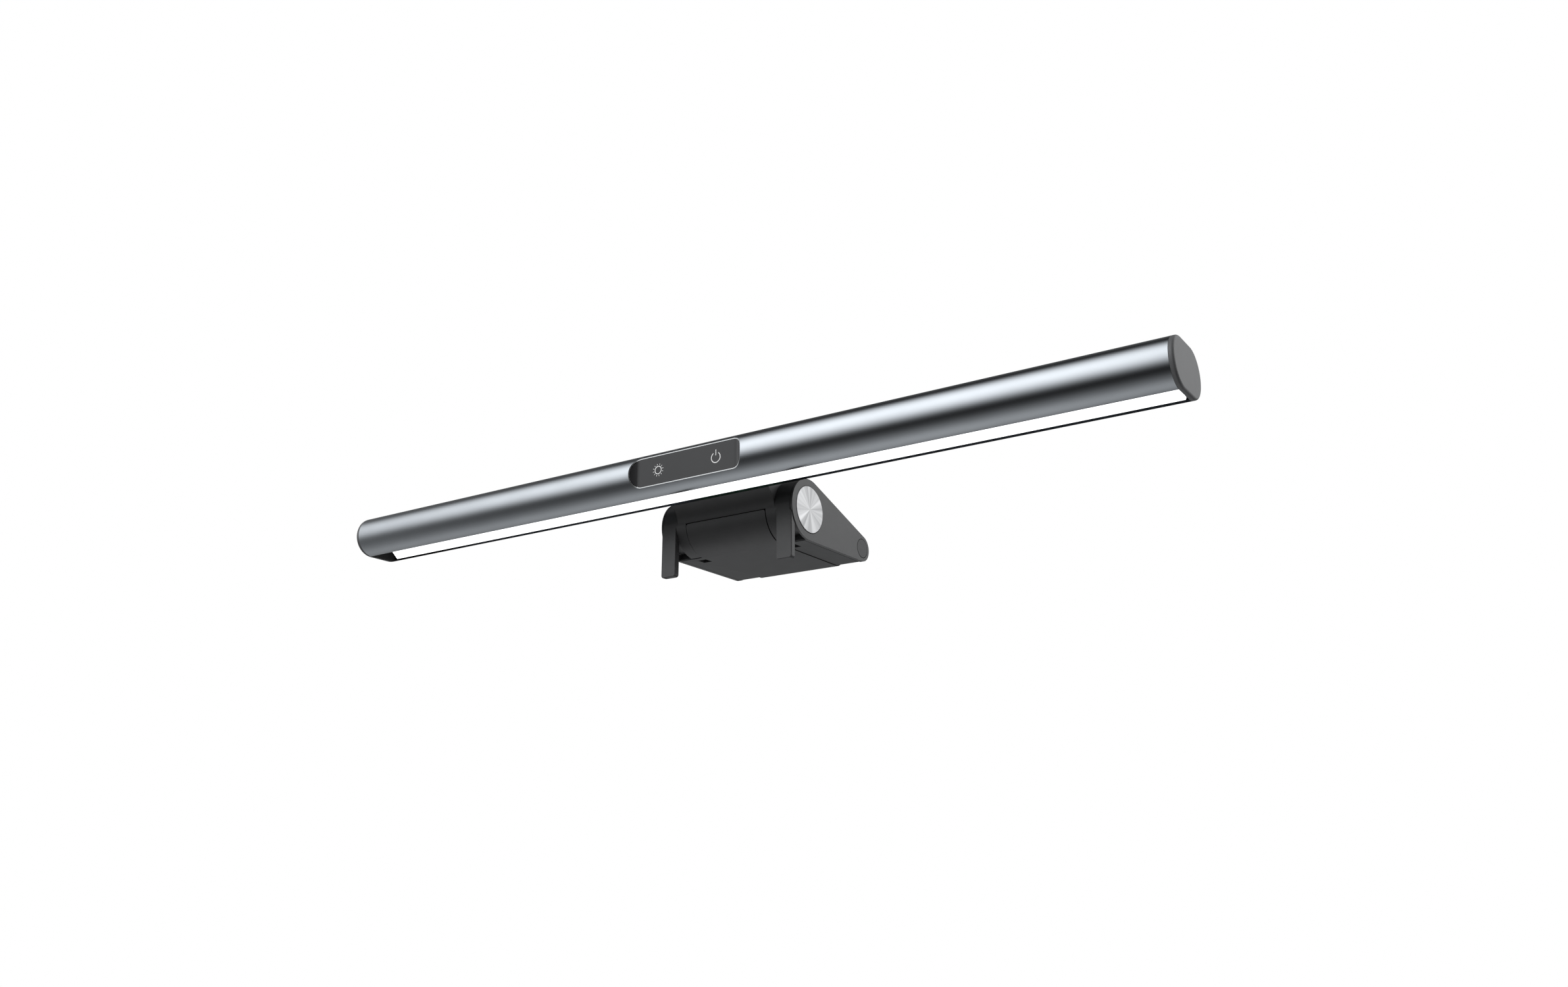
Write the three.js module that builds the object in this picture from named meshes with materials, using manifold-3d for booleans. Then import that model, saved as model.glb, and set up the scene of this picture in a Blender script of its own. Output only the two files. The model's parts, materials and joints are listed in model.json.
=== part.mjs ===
// Monitor light bar: an aluminium lamp tube on a spring clip that hangs on a screen's top edge.
// Millimetres, +Z up, +Y away from the user, X along the bar.
// Origin: the corner where the screen's front face and its top edge meet, in the middle of the bar.

import * as THREE from 'three';
import { mergeVertices } from 'three/addons/utils/BufferGeometryUtils.js';
import Module from 'manifold-3d';

const wasm = await Module();
wasm.setup();

// ---- driving dimensions -------------------------------------------------------------------

const BAR_LENGTH = 450;
const BARREL_Y = 11.4; // barrel axis, from the origin corner
const BARREL_Z = 14.6;

// lamp tube: two half rounds joined by flats, section centre measured from the barrel axis
const TUBE_Y = -31.1;
const TUBE_Z = 17.1;
const TUBE_R = 10.65;
const TUBE_FLAT = 5.75; // half the length of the flats
const TUBE_WALL = 1.4;
const CAP_THICK = 2.2;
const CAP_ROUND = 1.0;
const PLUG_DEPTH = 2.4;
const SLOT_FRONT = -6.9; // the open slot under the tube, along the section's flat direction
const SLOT_BACK = 9.25;
const TUBE_HALF = BAR_LENGTH / 2 - CAP_THICK;

// light engine: a slanted plate that throws the light down and towards the user
const PLATE_ANGLE = THREE.MathUtils.degToRad(139);
const PLATE_FOOT = new THREE.Vector2(9.15, -9.04);
const PLATE_WIDTH = 17;
const PLATE_THICK = 1.6;
const PLATE_GAP = 2.2; // between the plate's ends and the caps
const LED_COUNT = 40;
const LED_PITCH = 10.8;

// touch control, a facet scooped out of the tube's round front
const SCOOP_DEPTH = 2.8;
const SCOOP_FLAT = 26.2; // half the straight part
const SCOOP_R = 7.5;
const RIM = 0.45; // bright ring left round the cover

// barrel, hooks and neck, measured from the barrel axis
const SHELL_R = 14.6;
const SHELL_IN = 11.7;
const CORE_R = 11.3;
const SHELL_HALF = 29;
const SHELL_START = 60; // degrees, 0 = back, 90 = up, 180 = front
const SHELL_END = 262;
const HOOK_OUT = 37.5;
const HOOK_THICK = 3.05;
const HOOK_ROUND = 0.45;
const PAD_SEAT = 0.65; // the pad sits in a shallow seat in the hook's back
const PAD_THICK = 0.8;
const HOOK_BOTTOM = -25.6;
const WINDOW_HALF = 23.15;
const WINDOW_TOP = -0.55;
const NECK_HALF = 28;
const CRADLE_IN = TUBE_R + 0.4;
const CRADLE_OUT = CRADLE_IN + 2.4;
const CRADLE_LOW = -56;
const CRADLE_HIGH = 45;
const TILT_SCREW_X = 16;
const TILT_SCREW_ANGLE = 10;
const TILT_RANGE = 18;

// arm and flap
const REAR_Y = 47.6; // rear pin, from the barrel axis
const REAR_R = 6.4;
const REAR_Z = REAR_R - SHELL_R;
const CHEEK_IN = 35.9;
const CHEEK_OUT = 37.9;
const RAIL_IN = 23.15;
const RAIL_OUT = 35.6;
const ROOF_START = 32; // degrees round the barrel
const ROOF_THICK = 2.2;
const FLAP_HALF = 22.8;
const FLAP_THICK = 2.4;
const FLAP_PROUD = 0.3;
const DISC_R = 11.2;
const COVER_R = 4.7;
const AXLE_R = 2.5;
const PIN_R = 2.0;

// ---- small helpers ------------------------------------------------------------------------

const rad = THREE.MathUtils.degToRad;
// takes a drawing in the Y-Z plane, extruded along X
const SIDE = new THREE.Matrix4().makeBasis(
  new THREE.Vector3(0, 1, 0), new THREE.Vector3(0, 0, 1), new THREE.Vector3(1, 0, 0));
// takes a drawing in the X-Z plane, extruded towards the user
const FRONT = new THREE.Matrix4().makeBasis(
  new THREE.Vector3(1, 0, 0), new THREE.Vector3(0, 0, 1), new THREE.Vector3(0, -1, 0));

function toSolid(geometry) {
  const bare = geometry.clone();
  bare.deleteAttribute('normal');
  bare.deleteAttribute('uv');
  const merged = mergeVertices(bare, 1e-4);
  return new wasm.Manifold(new wasm.Mesh({
    numProp: 3,
    vertProperties: new Float32Array(merged.attributes.position.array),
    triVerts: new Uint32Array(merged.index.array),
  }));
}

function toGeometry(manifold) {
  const mesh = manifold.getMesh();
  const geometry = new THREE.BufferGeometry();
  geometry.setAttribute('position', new THREE.BufferAttribute(mesh.vertProperties, 3));
  geometry.setIndex(new THREE.BufferAttribute(mesh.triVerts, 1));
  const flat = geometry.toNonIndexed();
  flat.computeVertexNormals();
  return flat;
}

function part(name, manifold, material) {
  const mesh = new THREE.Mesh(toGeometry(manifold), material);
  mesh.name = name;
  return mesh;
}

function sideSolid(shape, x0, x1, curveSegments = 24) {
  const geometry = new THREE.ExtrudeGeometry(shape, { depth: x1 - x0, bevelEnabled: false, curveSegments });
  geometry.applyMatrix4(SIDE);
  geometry.translate(x0, 0, 0);
  return toSolid(geometry);
}

function box(x0, x1, y0, y1, z0, z1) {
  const geometry = new THREE.BoxGeometry(x1 - x0, y1 - y0, z1 - z0);
  geometry.translate((x0 + x1) / 2, (y0 + y1) / 2, (z0 + z1) / 2);
  return toSolid(geometry);
}

// a round bar along X
function rod(radius, x0, x1, y = 0, z = 0, segments = 48) {
  const geometry = new THREE.CylinderGeometry(radius, radius, x1 - x0, segments);
  geometry.rotateZ(Math.PI / 2);
  geometry.translate((x0 + x1) / 2, y, z);
  return toSolid(geometry);
}

function unite(first, ...rest) {
  return rest.reduce((sum, item) => sum.add(item), first);
}

function cut(first, ...rest) {
  return rest.reduce((left, item) => left.subtract(item), first);
}

function polar(radius, degrees, cy = 0, cz = 0) {
  return new THREE.Vector2(cy + radius * Math.cos(rad(degrees)), cz + radius * Math.sin(rad(degrees)));
}

function closedShape(points) {
  return new THREE.Shape(points);
}

function arcPoints(radius, from, to, steps, cy = 0, cz = 0) {
  return Array.from({ length: steps + 1 }, (_, i) => polar(radius, from + (to - from) * i / steps, cy, cz));
}

function ringSector(inner, outer, from, to, steps) {
  return closedShape([...arcPoints(outer, from, to, steps), ...arcPoints(inner, to, from, steps)]);
}

// two half rounds joined by flats
function obround(radius, half = TUBE_FLAT, steps = 20) {
  return closedShape([...arcPoints(radius, -90, 90, steps, half), ...arcPoints(radius, 90, 270, steps, -half)]);
}

// big round at the barrel, small round at the rear pin, joined by tangents
function teardrop(big, small, steps = 40) {
  const reach = Math.hypot(REAR_Y, REAR_Z);
  const tilt = THREE.MathUtils.radToDeg(Math.atan2(REAR_Z, REAR_Y));
  const open = THREE.MathUtils.radToDeg(Math.acos((big - small) / reach));
  return closedShape([
    ...arcPoints(big, tilt + open, tilt + 360 - open, steps),
    ...arcPoints(small, tilt - open, tilt + open, 16, REAR_Y, REAR_Z),
  ]);
}

// an extrusion along X with its outer edge rounded, the inner face left square
function roundedPlate(shape, x0, x1, round, segments = 3) {
  const geometry = new THREE.ExtrudeGeometry(shape, {
    depth: (x1 - x0 - round) * 2,
    bevelThickness: round,
    bevelSize: round,
    bevelOffset: -round,
    bevelSegments: segments,
    curveSegments: 24,
  });
  geometry.applyMatrix4(SIDE);
  geometry.translate(x1 - round - (x1 - x0 - round) * 2, 0, 0);
  const reach = 200;
  return toSolid(geometry).subtract(box(x0 - reach, x0, -reach, reach, -reach, reach));
}

function mirrorX(manifold) {
  return manifold.mirror([1, 0, 0]);
}

// ---- materials ----------------------------------------------------------------------------

const finish = (color, roughness, metalness) => () => new THREE.MeshStandardMaterial({ color, roughness, metalness });
const anodised = finish(0x8f9499, 0.35, 0.9);
const moulded = finish(0x2e2f31, 0.55, 0.0);
const cheekBlack = finish(0x343537, 0.5, 0.0);
const capGrey = finish(0x4c4d4f, 0.6, 0.0);
const opal = finish(0xf6f8ff, 0.4, 0.0);
const boardWhite = finish(0xe6e8e4, 0.5, 0.0);
const boardGreen = finish(0x2f5a3c, 0.5, 0.0);
const touchBlack = finish(0x3a3b3d, 0.15, 0.0);
const spunMetal = finish(0xe0e1e3, 0.25, 1.0);
const steel = finish(0xb9bcc0, 0.3, 1.0);
const springSteel = finish(0x8c8f94, 0.35, 1.0);
const silicone = finish(0x1d1e20, 0.85, 0.0);

// ---- lamp, drawn round the centre of the tube's section ------------------------------------

function scoopProfileY(x) {
  const run = Math.max(0, Math.abs(x) - SCOOP_FLAT);
  const rise = SCOOP_R - Math.sqrt(Math.max(0, SCOOP_R ** 2 - run ** 2));
  return -TUBE_FLAT - TUBE_R + SCOOP_DEPTH - rise;
}

const SCOOP_HALF = SCOOP_FLAT + Math.sqrt(SCOOP_R ** 2 - (SCOOP_R - SCOOP_DEPTH) ** 2);

// everything in front of the scooped face, set back by the given distance
function scoopCutter(setBack) {
  const outer = SCOOP_HALF + 1.1;
  const steps = 10;
  const shape = [];
  for (let i = 0; i <= steps; i += 1) {
    const x = SCOOP_FLAT + (outer - SCOOP_FLAT) * (i / steps);
    shape.push(new THREE.Vector2(x, scoopProfileY(x) + setBack));
  }
  const left = shape.map((p) => new THREE.Vector2(-p.x, p.y)).reverse();
  const front = -TUBE_FLAT - TUBE_R - 3;
  const outline = [...left, ...shape, new THREE.Vector2(outer, front), new THREE.Vector2(-outer, front)];
  const geometry = new THREE.ExtrudeGeometry(closedShape(outline), { depth: 24, bevelEnabled: false });
  geometry.translate(0, 0, -12);
  return toSolid(geometry);
}

// the outline in which the scooped face meets the tube's round front, drawn smaller by inset
function scoopOutline(inset) {
  const steps = 14;
  const quarter = [];
  for (let i = 0; i <= steps; i += 1) {
    const x = SCOOP_FLAT + (SCOOP_HALF - SCOOP_FLAT) * Math.sin((i / steps) * Math.PI / 2);
    const depth = scoopProfileY(x) + TUBE_FLAT + TUBE_R;
    const z = Math.sqrt(Math.max(0, TUBE_R ** 2 - (TUBE_R - depth) ** 2));
    const full = Math.sqrt(TUBE_R ** 2 - (TUBE_R - SCOOP_DEPTH) ** 2);
    quarter.push(new THREE.Vector2(x * (SCOOP_HALF - inset) / SCOOP_HALF, z * (full - inset) / full));
  }
  quarter[steps].y = 0;
  const flip = (sx, sz) => quarter.map((p) => new THREE.Vector2(sx * p.x, sz * p.y));
  return closedShape([
    ...flip(1, 1).reverse(),
    ...flip(-1, 1).slice(0, -1),
    ...flip(-1, -1).reverse(),
    ...flip(1, -1).slice(0, -1),
  ]);
}

// a prism that runs from yBack towards the user, with its outline in the X-Z plane
function frontPrism(shape, yBack, depth) {
  const geometry = new THREE.ExtrudeGeometry(shape, { depth, bevelEnabled: false, curveSegments: 6 });
  geometry.applyMatrix4(FRONT);
  geometry.translate(0, yBack, 0);
  return toSolid(geometry);
}

// a bar with a rectangular section that lies along the slanted plate: s along it, t behind it
function slanted(s0, s1, t0, t1, x0, x1) {
  const along = new THREE.Vector2(Math.cos(PLATE_ANGLE), Math.sin(PLATE_ANGLE));
  const behind = new THREE.Vector2(along.y, -along.x);
  const corner = (s, t) => PLATE_FOOT.clone().addScaledVector(along, s).addScaledVector(behind, t);
  return sideSolid(closedShape([corner(s0, t0), corner(s0, t1), corner(s1, t1), corner(s1, t0)]), x0, x1);
}

function radialRod(radius, r0, r1, x, degrees, segments = 20) {
  const geometry = new THREE.CylinderGeometry(radius, radius, r1 - r0, segments);
  geometry.translate(0, (r0 + r1) / 2, 0);
  geometry.rotateX(rad(degrees));
  geometry.translate(x, TUBE_FLAT, 0);
  return toSolid(geometry);
}

function socketOutline(half, radius) {
  return closedShape([...arcPoints(radius, -90, 90, 10, half), ...arcPoints(radius, 90, 270, 10, -half)]);
}

const SOCKET_X = 62;
const SOCKET_BACK = TUBE_FLAT + TUBE_R;

function socketPrism(half, radius, y0, y1) {
  const prism = frontPrism(socketOutline(half, radius), y1, y1 - y0);
  return prism.translate([SOCKET_X, 0, 0]);
}

function lampTube() {
  const skin = cut(
    sideSolid(obround(TUBE_R), -TUBE_HALF, TUBE_HALF),
    sideSolid(obround(TUBE_R - TUBE_WALL), -TUBE_HALF - 1, TUBE_HALF + 1),
    box(-TUBE_HALF - 1, TUBE_HALF + 1, SLOT_FRONT, SLOT_BACK, -TUBE_R - 1, 0),
    // the rebate in the back lip that the plate's foot drops into
    slanted(-0.1, 4, -0.6, PLATE_THICK + 0.1, -TUBE_HALF - 1, TUBE_HALF + 1),
  );
  // inner webs stop short of the ends, where the caps plug in
  const end = TUBE_HALF - PLUG_DEPTH - 0.3;
  const keeper = slanted(PLATE_WIDTH + 0.3, PLATE_WIDTH + 1.7, -1.4, 8.4, -end, end);
  const keeperLip = slanted(PLATE_WIDTH - 1.2, PLATE_WIDTH + 1, -1.4, -0.3, -end, end);
  const keeperTop = box(-end, end, -5.45, -4.05, 2.3, TUBE_R - TUBE_WALL + 0.4);
  const seatWeb = slanted(7.7, 9.3, 8.2, 15.2, -end, end);
  const seatFlange = slanted(5.4, 11.8, 8.05, 9.3, -end, end);
  const inside = sideSolid(obround(TUBE_R - TUBE_WALL / 2), -end, end);
  const webs = unite(keeper, keeperLip, keeperTop, seatWeb, seatFlange).intersect(inside);
  const window = frontPrism(scoopOutline(RIM), -8, 12);
  const screwHoles = [-TILT_SCREW_X, TILT_SCREW_X].map((x) => radialRod(1.7, 8, 12, x, TILT_SCREW_ANGLE));
  const socketHole = socketPrism(3.2, 3.35, SOCKET_BACK - 4.9, SOCKET_BACK + 2);
  return cut(unite(skin, webs), scoopCutter(0), window, socketHole, ...screwHoles);
}

function endCap() {
  const plate = roundedPlate(obround(TUBE_R), TUBE_HALF, BAR_LENGTH / 2, CAP_ROUND);
  // the plug leaves the light plate and the space in front of it free
  const plug = cut(
    sideSolid(obround(TUBE_R - TUBE_WALL - 0.3), TUBE_HALF - PLUG_DEPTH, TUBE_HALF + 0.1),
    slanted(-4, PLATE_WIDTH + 4, -16, PLATE_THICK + 0.1, TUBE_HALF - PLUG_DEPTH - 1, TUBE_HALF),
  );
  return unite(plate, plug);
}

function diffuserPlate() {
  const end = TUBE_HALF - PLATE_GAP;
  return slanted(0, PLATE_WIDTH, 0, PLATE_THICK, -end, end);
}

function ledBoard() {
  const end = TUBE_HALF - PLUG_DEPTH - 6;
  const board = slanted(5.0, 12.2, 6.9, 8.0, -end, end);
  const leds = Array.from({ length: LED_COUNT }, (_, i) => {
    const x = (i - (LED_COUNT - 1) / 2) * LED_PITCH;
    return slanted(7.1, 9.9, 6.2, 7.2, x - 1.75, x + 1.75);
  });
  return unite(board, ...leds);
}

function touchCover() {
  const slab = frontPrism(scoopOutline(RIM + 0.2), -TUBE_FLAT - TUBE_R + SCOOP_DEPTH + 1.7, 6);
  return slab.subtract(scoopCutter(0.15));
}

function touchBoard() {
  const y = -TUBE_FLAT - TUBE_R + SCOOP_DEPTH + 2.0;
  const board = box(-25, 25, y, y + 1.0, -4.2, 4.2);
  const pads = [-16.4, 16.4].map((x) => box(x - 3.5, x + 3.5, y - 0.2, y + 0.2, -3.5, 3.5));
  const chip = box(-4, 4, y + 0.8, y + 2.2, -3, 3);
  return unite(board, chip, ...pads);
}

function powerSocket() {
  const bezel = socketPrism(3.0, 3.15, SOCKET_BACK - 4.7, SOCKET_BACK - 0.1);
  const mouth = socketPrism(2.85, 1.65, SOCKET_BACK - 3.9, SOCKET_BACK + 1);
  const tongue = box(SOCKET_X - 3.3, SOCKET_X + 3.3, SOCKET_BACK - 4.3, SOCKET_BACK - 0.9, -0.35, 0.35);
  return unite(cut(bezel, mouth), tongue);
}

function tiltScrew(x) {
  const head = CRADLE_OUT + 0.15;
  const body = unite(
    radialRod(1.5, 6.4, head + 0.2, x, TILT_SCREW_ANGLE),
    radialRod(2.9, head, head + 1.6, x, TILT_SCREW_ANGLE, 28),
  );
  return body.subtract(radialRod(1.1, head + 0.7, head + 3, x, TILT_SCREW_ANGLE, 6));
}

function tiltNutPlate() {
  const plate = box(-22, 22, 6.3, 8.2, -4, 4);
  const turned = plate.rotate([TILT_SCREW_ANGLE, 0, 0]).translate([0, TUBE_FLAT, 0]);
  const holes = [-TILT_SCREW_X, TILT_SCREW_X].map((x) => radialRod(1.6, 5, 10, x, TILT_SCREW_ANGLE));
  return cut(turned, ...holes);
}

// ---- bracket: neck, barrel shell and hooks in one moulding, round the barrel axis -----------

const TILT_Y = TUBE_Y + TUBE_FLAT;
const TILT_Z = TUBE_Z;

function neckOutline() {
  const front = new THREE.QuadraticBezierCurve(
    new THREE.Vector2(-SHELL_R, WINDOW_TOP),
    new THREE.Vector2(-SHELL_R, 4.2),
    polar(CRADLE_IN, CRADLE_LOW, TILT_Y, TILT_Z),
  );
  const back = new THREE.QuadraticBezierCurve(
    polar(CRADLE_OUT, CRADLE_HIGH, TILT_Y, TILT_Z),
    new THREE.Vector2(-10.5, 16.5),
    polar(SHELL_R, 72),
  );
  return closedShape([
    ...front.getPoints(8),
    ...arcPoints(CRADLE_IN, CRADLE_LOW, CRADLE_HIGH, 18, TILT_Y, TILT_Z).slice(1),
    ...back.getPoints(10),
    ...arcPoints(13, 72, 182, 16),
  ].reverse());
}

function tiltSlot(x) {
  const spread = TILT_RANGE + 9.5;
  const from = TILT_SCREW_ANGLE - spread;
  const to = TILT_SCREW_ANGLE + spread;
  const sector = closedShape([
    ...arcPoints(CRADLE_OUT + 1, from, to, 12, TILT_Y, TILT_Z),
    ...arcPoints(CRADLE_IN - 1, to, from, 12, TILT_Y, TILT_Z),
  ]);
  return sideSolid(sector, x - 1.75, x + 1.75);
}

// the open bay behind the cradle that lets a screw's head travel
function neckBay(x0, x1) {
  return cut(
    box(x0, x1, -14.2, 14, 4, 40),
    rod(CRADLE_OUT, x0 - 1, x1 + 1, TILT_Y, TILT_Z, 72),
    rod(SHELL_R, x0 - 1, x1 + 1, 0, 0, 72),
  );
}

function hook() {
  const inner = SHELL_HALF;
  const r = 1.3;
  const outline = new THREE.Shape();
  outline.moveTo(inner, 0);
  outline.lineTo(inner, HOOK_BOTTOM + r);
  outline.absarc(inner + r, HOOK_BOTTOM + r, r, Math.PI, 1.5 * Math.PI, false);
  outline.absarc(HOOK_OUT - r, HOOK_BOTTOM + r, r, 1.5 * Math.PI, 2 * Math.PI, false);
  outline.lineTo(HOOK_OUT, 0);
  const geometry = new THREE.ExtrudeGeometry(outline, {
    depth: HOOK_THICK - 2 * HOOK_ROUND,
    bevelThickness: HOOK_ROUND,
    bevelSize: HOOK_ROUND,
    bevelOffset: -HOOK_ROUND,
    bevelSegments: 2,
    curveSegments: 6,
  });
  geometry.applyMatrix4(FRONT);
  geometry.translate(0, -SHELL_R + HOOK_THICK - HOOK_ROUND, 0);
  return cut(
    toSolid(geometry),
    rod(SHELL_R + 0.35, CHEEK_IN - 0.3, HOOK_OUT + 1, 0, 0, 72),
    frontPrism(padOutline(-0.1), -SHELL_R + HOOK_THICK + 1, PAD_SEAT + 1),
  );
}

function bracketShell() {
  const sleeve = sideSolid(ringSector(SHELL_IN, SHELL_R, SHELL_START, SHELL_END, 40), -SHELL_HALF, SHELL_HALF);
  const strap = sideSolid(ringSector(SHELL_IN, SHELL_R, SHELL_START, 188, 28), SHELL_HALF - 0.5, RAIL_OUT);
  const neck = sideSolid(neckOutline(), -NECK_HALF, NECK_HALF);
  const window = box(-WINDOW_HALF, WINDOW_HALF, -20, 6, -20, WINDOW_TOP);
  const body = cut(
    unite(sleeve, neck),
    window,
    neckBay(9, 23),
    neckBay(-23, -9),
    tiltSlot(TILT_SCREW_X),
    tiltSlot(-TILT_SCREW_X),
  );
  const side = unite(strap, hook());
  return unite(body, side, mirrorX(side));
}

function padOutline(inset) {
  const outline = new THREE.Shape();
  const r = 1.2 - inset;
  const left = SHELL_HALF + 0.9 + inset;
  const right = HOOK_OUT - 0.9 - inset;
  const low = HOOK_BOTTOM + 0.9 + inset;
  const high = HOOK_BOTTOM + 13.9 - inset;
  outline.moveTo(left + r, low);
  outline.absarc(right - r, low + r, r, -Math.PI / 2, 0, false);
  outline.absarc(right - r, high - r, r, 0, Math.PI / 2, false);
  outline.absarc(left + r, high - r, r, Math.PI / 2, Math.PI, false);
  outline.absarc(left + r, low + r, r, Math.PI, 1.5 * Math.PI, false);
  return outline;
}

function hookPad() {
  const back = -SHELL_R + HOOK_THICK - PAD_SEAT + PAD_THICK;
  return frontPrism(padOutline(0), back, PAD_THICK - 0.02);
}

// ---- arm: core, rails and roof in one moulding, with side cheeks ----------------------------

function armFrame() {
  const outline = teardrop(SHELL_R - 0.3, REAR_R - 0.2);
  const whole = sideSolid(outline, -RAIL_OUT, RAIL_OUT);
  const underside = box(-RAIL_OUT, RAIL_OUT, -1, REAR_Y, -SHELL_R, -SHELL_R + 1);
  const sweep = sideSolid(closedShape([
    new THREE.Vector2(0, 0),
    ...arcPoints(SHELL_R + 6, ROOF_START, SHELL_END + 1.5, 40),
  ]), -RAIL_OUT - 1, RAIL_OUT + 1);
  // the hollow that takes the folded flap, roofed by a thin slanting cover
  const hollow = sideSolid(teardrop(SHELL_R - 0.3 - ROOF_THICK, REAR_R - 0.2 - ROOF_THICK), -RAIL_IN, RAIL_IN);
  const openBelow = box(-RAIL_IN, RAIL_IN, -2, REAR_Y + 20, -SHELL_R - 2, REAR_Z + 1);
  const knuckleRoom = rod(REAR_R + 0.8, -RAIL_IN, RAIL_IN, REAR_Y, REAR_Z, 48);
  const tail = box(-RAIL_IN, RAIL_IN, REAR_Y - 1, REAR_Y + 20, -SHELL_R - 2, REAR_Z + 20);
  const shell = cut(unite(whole, underside), sweep, hollow, openBelow, knuckleRoom, tail);
  const core = rod(CORE_R, -RAIL_OUT, RAIL_OUT, 0, 0, 56);
  const bore = rod(5.6, -RAIL_OUT - 1, RAIL_OUT + 1, 0, 0, 32);
  const pinHole = rod(PIN_R + 0.15, -RAIL_OUT - 1, RAIL_OUT + 1, REAR_Y, REAR_Z, 24);
  const notches = [1, -1].map((s) => box(
    Math.min(s * 23, s * 28.4), Math.max(s * 23, s * 28.4), 2.3, 7.4, -SHELL_R - 1, -SHELL_R + 3.4));
  return cut(unite(shell, core), bore, pinHole, ...notches);
}

function cheek() {
  const plate = roundedPlate(teardrop(SHELL_R, REAR_R), CHEEK_IN, CHEEK_OUT, 0.35, 2);
  return cut(
    plate,
    rod(DISC_R + 0.15, CHEEK_OUT - 1.0, CHEEK_OUT + 1, 0, 0, 64),
    rod(COVER_R + 0.15, CHEEK_OUT - 0.8, CHEEK_OUT + 1, REAR_Y, REAR_Z, 40),
    rod(AXLE_R + 0.1, CHEEK_IN - 1, CHEEK_OUT + 1, 0, 0, 24),
    rod(PIN_R + 0.15, CHEEK_IN - 1, CHEEK_OUT + 1, REAR_Y, REAR_Z, 24),
  );
}

// a shallow turned disc with a fine edge
function sideDisc() {
  const thick = 1.2;
  const profile = [
    new THREE.Vector2(0, 0),
    new THREE.Vector2(DISC_R, 0),
    new THREE.Vector2(DISC_R, thick - 0.25),
    new THREE.Vector2(DISC_R - 0.3, thick),
    new THREE.Vector2(0, thick),
  ];
  const geometry = new THREE.LatheGeometry(profile, 64);
  geometry.rotateZ(-Math.PI / 2);
  geometry.translate(CHEEK_OUT - 0.95, 0, 0);
  return toSolid(geometry);
}

function pinCover() {
  return rod(COVER_R, CHEEK_OUT - 0.75, CHEEK_OUT + 0.05, REAR_Y, REAR_Z, 40);
}

class Helix extends THREE.Curve {
  constructor(radius, turns, length, x0) {
    super();
    Object.assign(this, { radius, turns, length, x0 });
  }

  getPoint(t, target = new THREE.Vector3()) {
    const angle = 2 * Math.PI * this.turns * t;
    return target.set(this.x0 + this.length * t, this.radius * Math.cos(angle), this.radius * Math.sin(angle));
  }
}

function coilSpring(radius, wire, turns, length, x0) {
  const section = closedShape(arcPoints(wire, 0, 300, 5));
  const geometry = new THREE.ExtrudeGeometry(section, {
    steps: turns * 12,
    extrudePath: new Helix(radius, turns, length, x0),
    bevelEnabled: false,
  });
  return toSolid(geometry);
}

// ---- flap: the rear leg, hinged on the rear pin, with a curled front end ---------------------

const CORNER_R = 1.2;

function flapBody() {
  const zc = -FLAP_PROUD + 0.1; // the curl is a touch larger than the shell and sits a touch lower
  const r = SHELL_R + 0.1;
  const bottom = zc - r;
  const profile = closedShape([
    ...arcPoints(r, 183, 270, 22, 0, zc),
    new THREE.Vector2(REAR_Y, bottom),
    new THREE.Vector2(REAR_Y, bottom + FLAP_THICK),
    ...arcPoints(r - FLAP_THICK, 270, 183, 22, 0, zc),
  ]);
  const plate = sideSolid(profile, -FLAP_HALF, FLAP_HALF);
  const ribLow = bottom + 1;
  const rib = (x0, x1) => unite(
    box(x0, x1, 12, REAR_Y - 2, ribLow, ribLow + 6.2),
    sideSolid(closedShape([
      new THREE.Vector2(3, ribLow),
      new THREE.Vector2(12.5, ribLow),
      new THREE.Vector2(12.5, ribLow + 6.2),
    ]), x0, x1),
  );
  const knuckle = rod(REAR_Z - bottom, -FLAP_HALF, FLAP_HALF, REAR_Y, REAR_Z, 48);
  // what is left over when the curl's square upper corner is rounded
  const top = zc - r * Math.sin(rad(3));
  const nip = frontPrism(closedShape([
    ...arcPoints(CORNER_R, 0, 90, 6, FLAP_HALF - CORNER_R, top - CORNER_R),
    new THREE.Vector2(FLAP_HALF - CORNER_R, top + 1),
    new THREE.Vector2(FLAP_HALF + 1, top + 1),
    new THREE.Vector2(FLAP_HALF + 1, top - CORNER_R),
  ]), -8, 10);
  return cut(
    unite(plate, rib(20.4, FLAP_HALF), rib(-FLAP_HALF, -20.4), knuckle),
    rod(PIN_R + 0.15, -FLAP_HALF - 1, FLAP_HALF + 1, REAR_Y, REAR_Z, 24),
    rod(4.6, 11, FLAP_HALF + 1, REAR_Y, REAR_Z, 32),
    nip,
    mirrorX(nip),
  );
}

const FLAP_FLOOR = -FLAP_PROUD - SHELL_R + FLAP_THICK;

function flapWeight() {
  return box(-18.5, 18.5, 13, 37, FLAP_FLOOR + 0.05, FLAP_FLOOR + 3.2);
}

function flapPad() {
  const outline = new THREE.Shape();
  const r = 3;
  outline.absarc(18 - r, 36 - r, r, 0, Math.PI / 2, false);
  outline.absarc(-18 + r, 36 - r, r, Math.PI / 2, Math.PI, false);
  outline.absarc(-18 + r, 14 + r, r, Math.PI, 1.5 * Math.PI, false);
  outline.absarc(18 - r, 14 + r, r, 1.5 * Math.PI, 2 * Math.PI, false);
  const geometry = new THREE.ExtrudeGeometry(outline, { depth: 1.2, bevelEnabled: false, curveSegments: 6 });
  geometry.translate(0, 0, FLAP_FLOOR + 3.25);
  return toSolid(geometry);
}

// ---- assembly -----------------------------------------------------------------------------

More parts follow.
